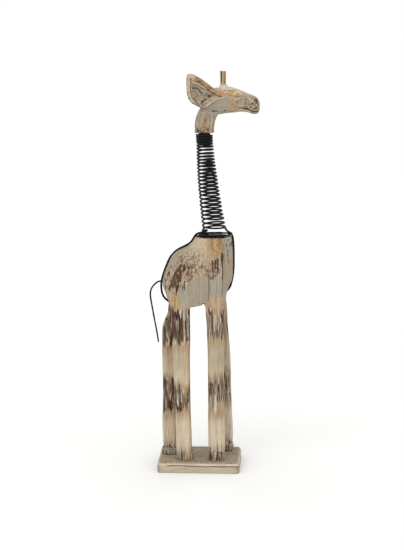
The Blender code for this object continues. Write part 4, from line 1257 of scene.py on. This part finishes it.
def horns():
    bottom, top = HORN[0][1], HORN[-1][1]
    for name, node, sign, seed in (("right_horn", "horn_right", -1, 3), ("left_horn", "horn_left", 1, 8)):
        mesh = bmesh.new()
        rings = []
        for z in np.linspace(bottom, top, 46):
            radius = np.interp(z, [p[1] for p in HORN], [p[0] for p in HORN])
            ring = []
            for a, b in superellipse(radius, radius, 2.2, 40):
                at = np.array([[HORN_X + a, sign * HORN_Y + b, z]])
                cut = 1 + (0.4 * layered(at, (2.4, 2.4, 26), 2, seed)[0] - 0.15) / radius
                ring.append((HORN_X + a * cut, sign * HORN_Y + b * cut, z))
            rings.append(ring)
        add_loft(mesh, rings)
        obj = mesh_object(name, mesh, smooth=True)
        obj.data.set_sharp_from_angle(angle=math.radians(50))
        x, _, z = points_of(obj)[0].T
        rear_side = ramp(0.5, -3.0, x - HORN_X)
        rear_line = bell(x - HORN_X + 2.6, 1.0) * ramp(657, 663, z)
        front_line = bell(x - HORN_X - 2.8, 1.6) * ramp(655, 662, z)
        paint(
            obj,
            cavity=0.2 + 0 * x,
            dark=unit(0.75 * rear_line + 0.25 * front_line + 0.3 * ramp(676, 679, z) * rear_side),
            orange=unit(0.75 * front_line + 0.2),
            grey=0.55 + 0.3 * rear_side,
            cream=unit(0.55 * ramp(661, 655, z) + 0.4 * bell(x - HORN_X, 1.2)),
        )
        fit(obj, WOOD_UP, "head", "whitewashed_wood", node)


def repaint_kept_nodes():
    """The CAD pieces that stay as they are get their worked materials."""
    for name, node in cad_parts.items():
        finish = DOWEL if name == "head_peg" else WIRE if name.startswith("collar_screw") else STEEL
        if name == "head_peg" or "_screw" in name:
            node.data.materials.clear()
            node.data.materials.append(finish)


# ---- Stage ----
# Lamps: direction of the light, strength, and how broad they are in degrees
LAMPS = {"key": ((0.35, 0.75, -0.62), 0.75, 60), "fill": ((-0.8, 0.5, -0.4), 0.25, 90)}
CAMERA_PLACE, CAMERA_PAN, CAMERA_TILT = (0.0729, -1.8422, 0.6773), -0.0377, 0.182
SENSOR, LENS = 36.0, 72.0


def aim(obj, direction):
    obj.rotation_euler = Vector(direction).to_track_quat("-Z", "Y").to_euler()


def stage():
    mesh = bmesh.new()
    bmesh.ops.create_grid(mesh, x_segments=2, y_segments=2, size=6.0)
    floor = mesh_object("floor", mesh)
    g = Graph("pale_floor")
    cloud = g.noise((400, 400, 400), 2, 0.5, 1.0)
    pale = g.coats((240, 240, 239), (cloud, 1.0, 0.5, 1.0, (243, 243, 242)))
    floor.data.materials.append(g.finish(pale, 0.9, specular=0.0))

    world = bpy.data.worlds.new("studio")
    bpy.context.scene.world = world
    world.use_nodes = True
    background = world.node_tree.nodes["Background"]
    background.inputs["Color"].default_value = (1.0, 1.0, 1.0, 1.0)
    background.inputs["Strength"].default_value = 1.0
    # The lamps are far off and broad, so the floor is lit evenly out to the horizon.
    for name, (direction, strength, breadth) in LAMPS.items():
        lamp = bpy.data.lights.new(name, "SUN")
        lamp.energy = strength
        lamp.angle = math.radians(breadth)
        aim(place(name, lamp), direction)

    camera = bpy.data.cameras.new("camera")
    camera.sensor_fit = "VERTICAL"
    camera.sensor_height = SENSOR
    camera.lens = LENS
    obj = place("camera", camera)
    obj.location = CAMERA_PLACE
    level = math.cos(CAMERA_TILT)
    aim(obj, (math.sin(CAMERA_PAN) * level, math.cos(CAMERA_PAN) * level, -math.sin(CAMERA_TILT)))
    bpy.context.scene.camera = obj
    bpy.context.scene.view_settings.view_transform = "Standard"


stage()
base_plate()
body()
contour_wires()
collar()
neck_coil()
head()
horns()
repaint_kept_nodes()
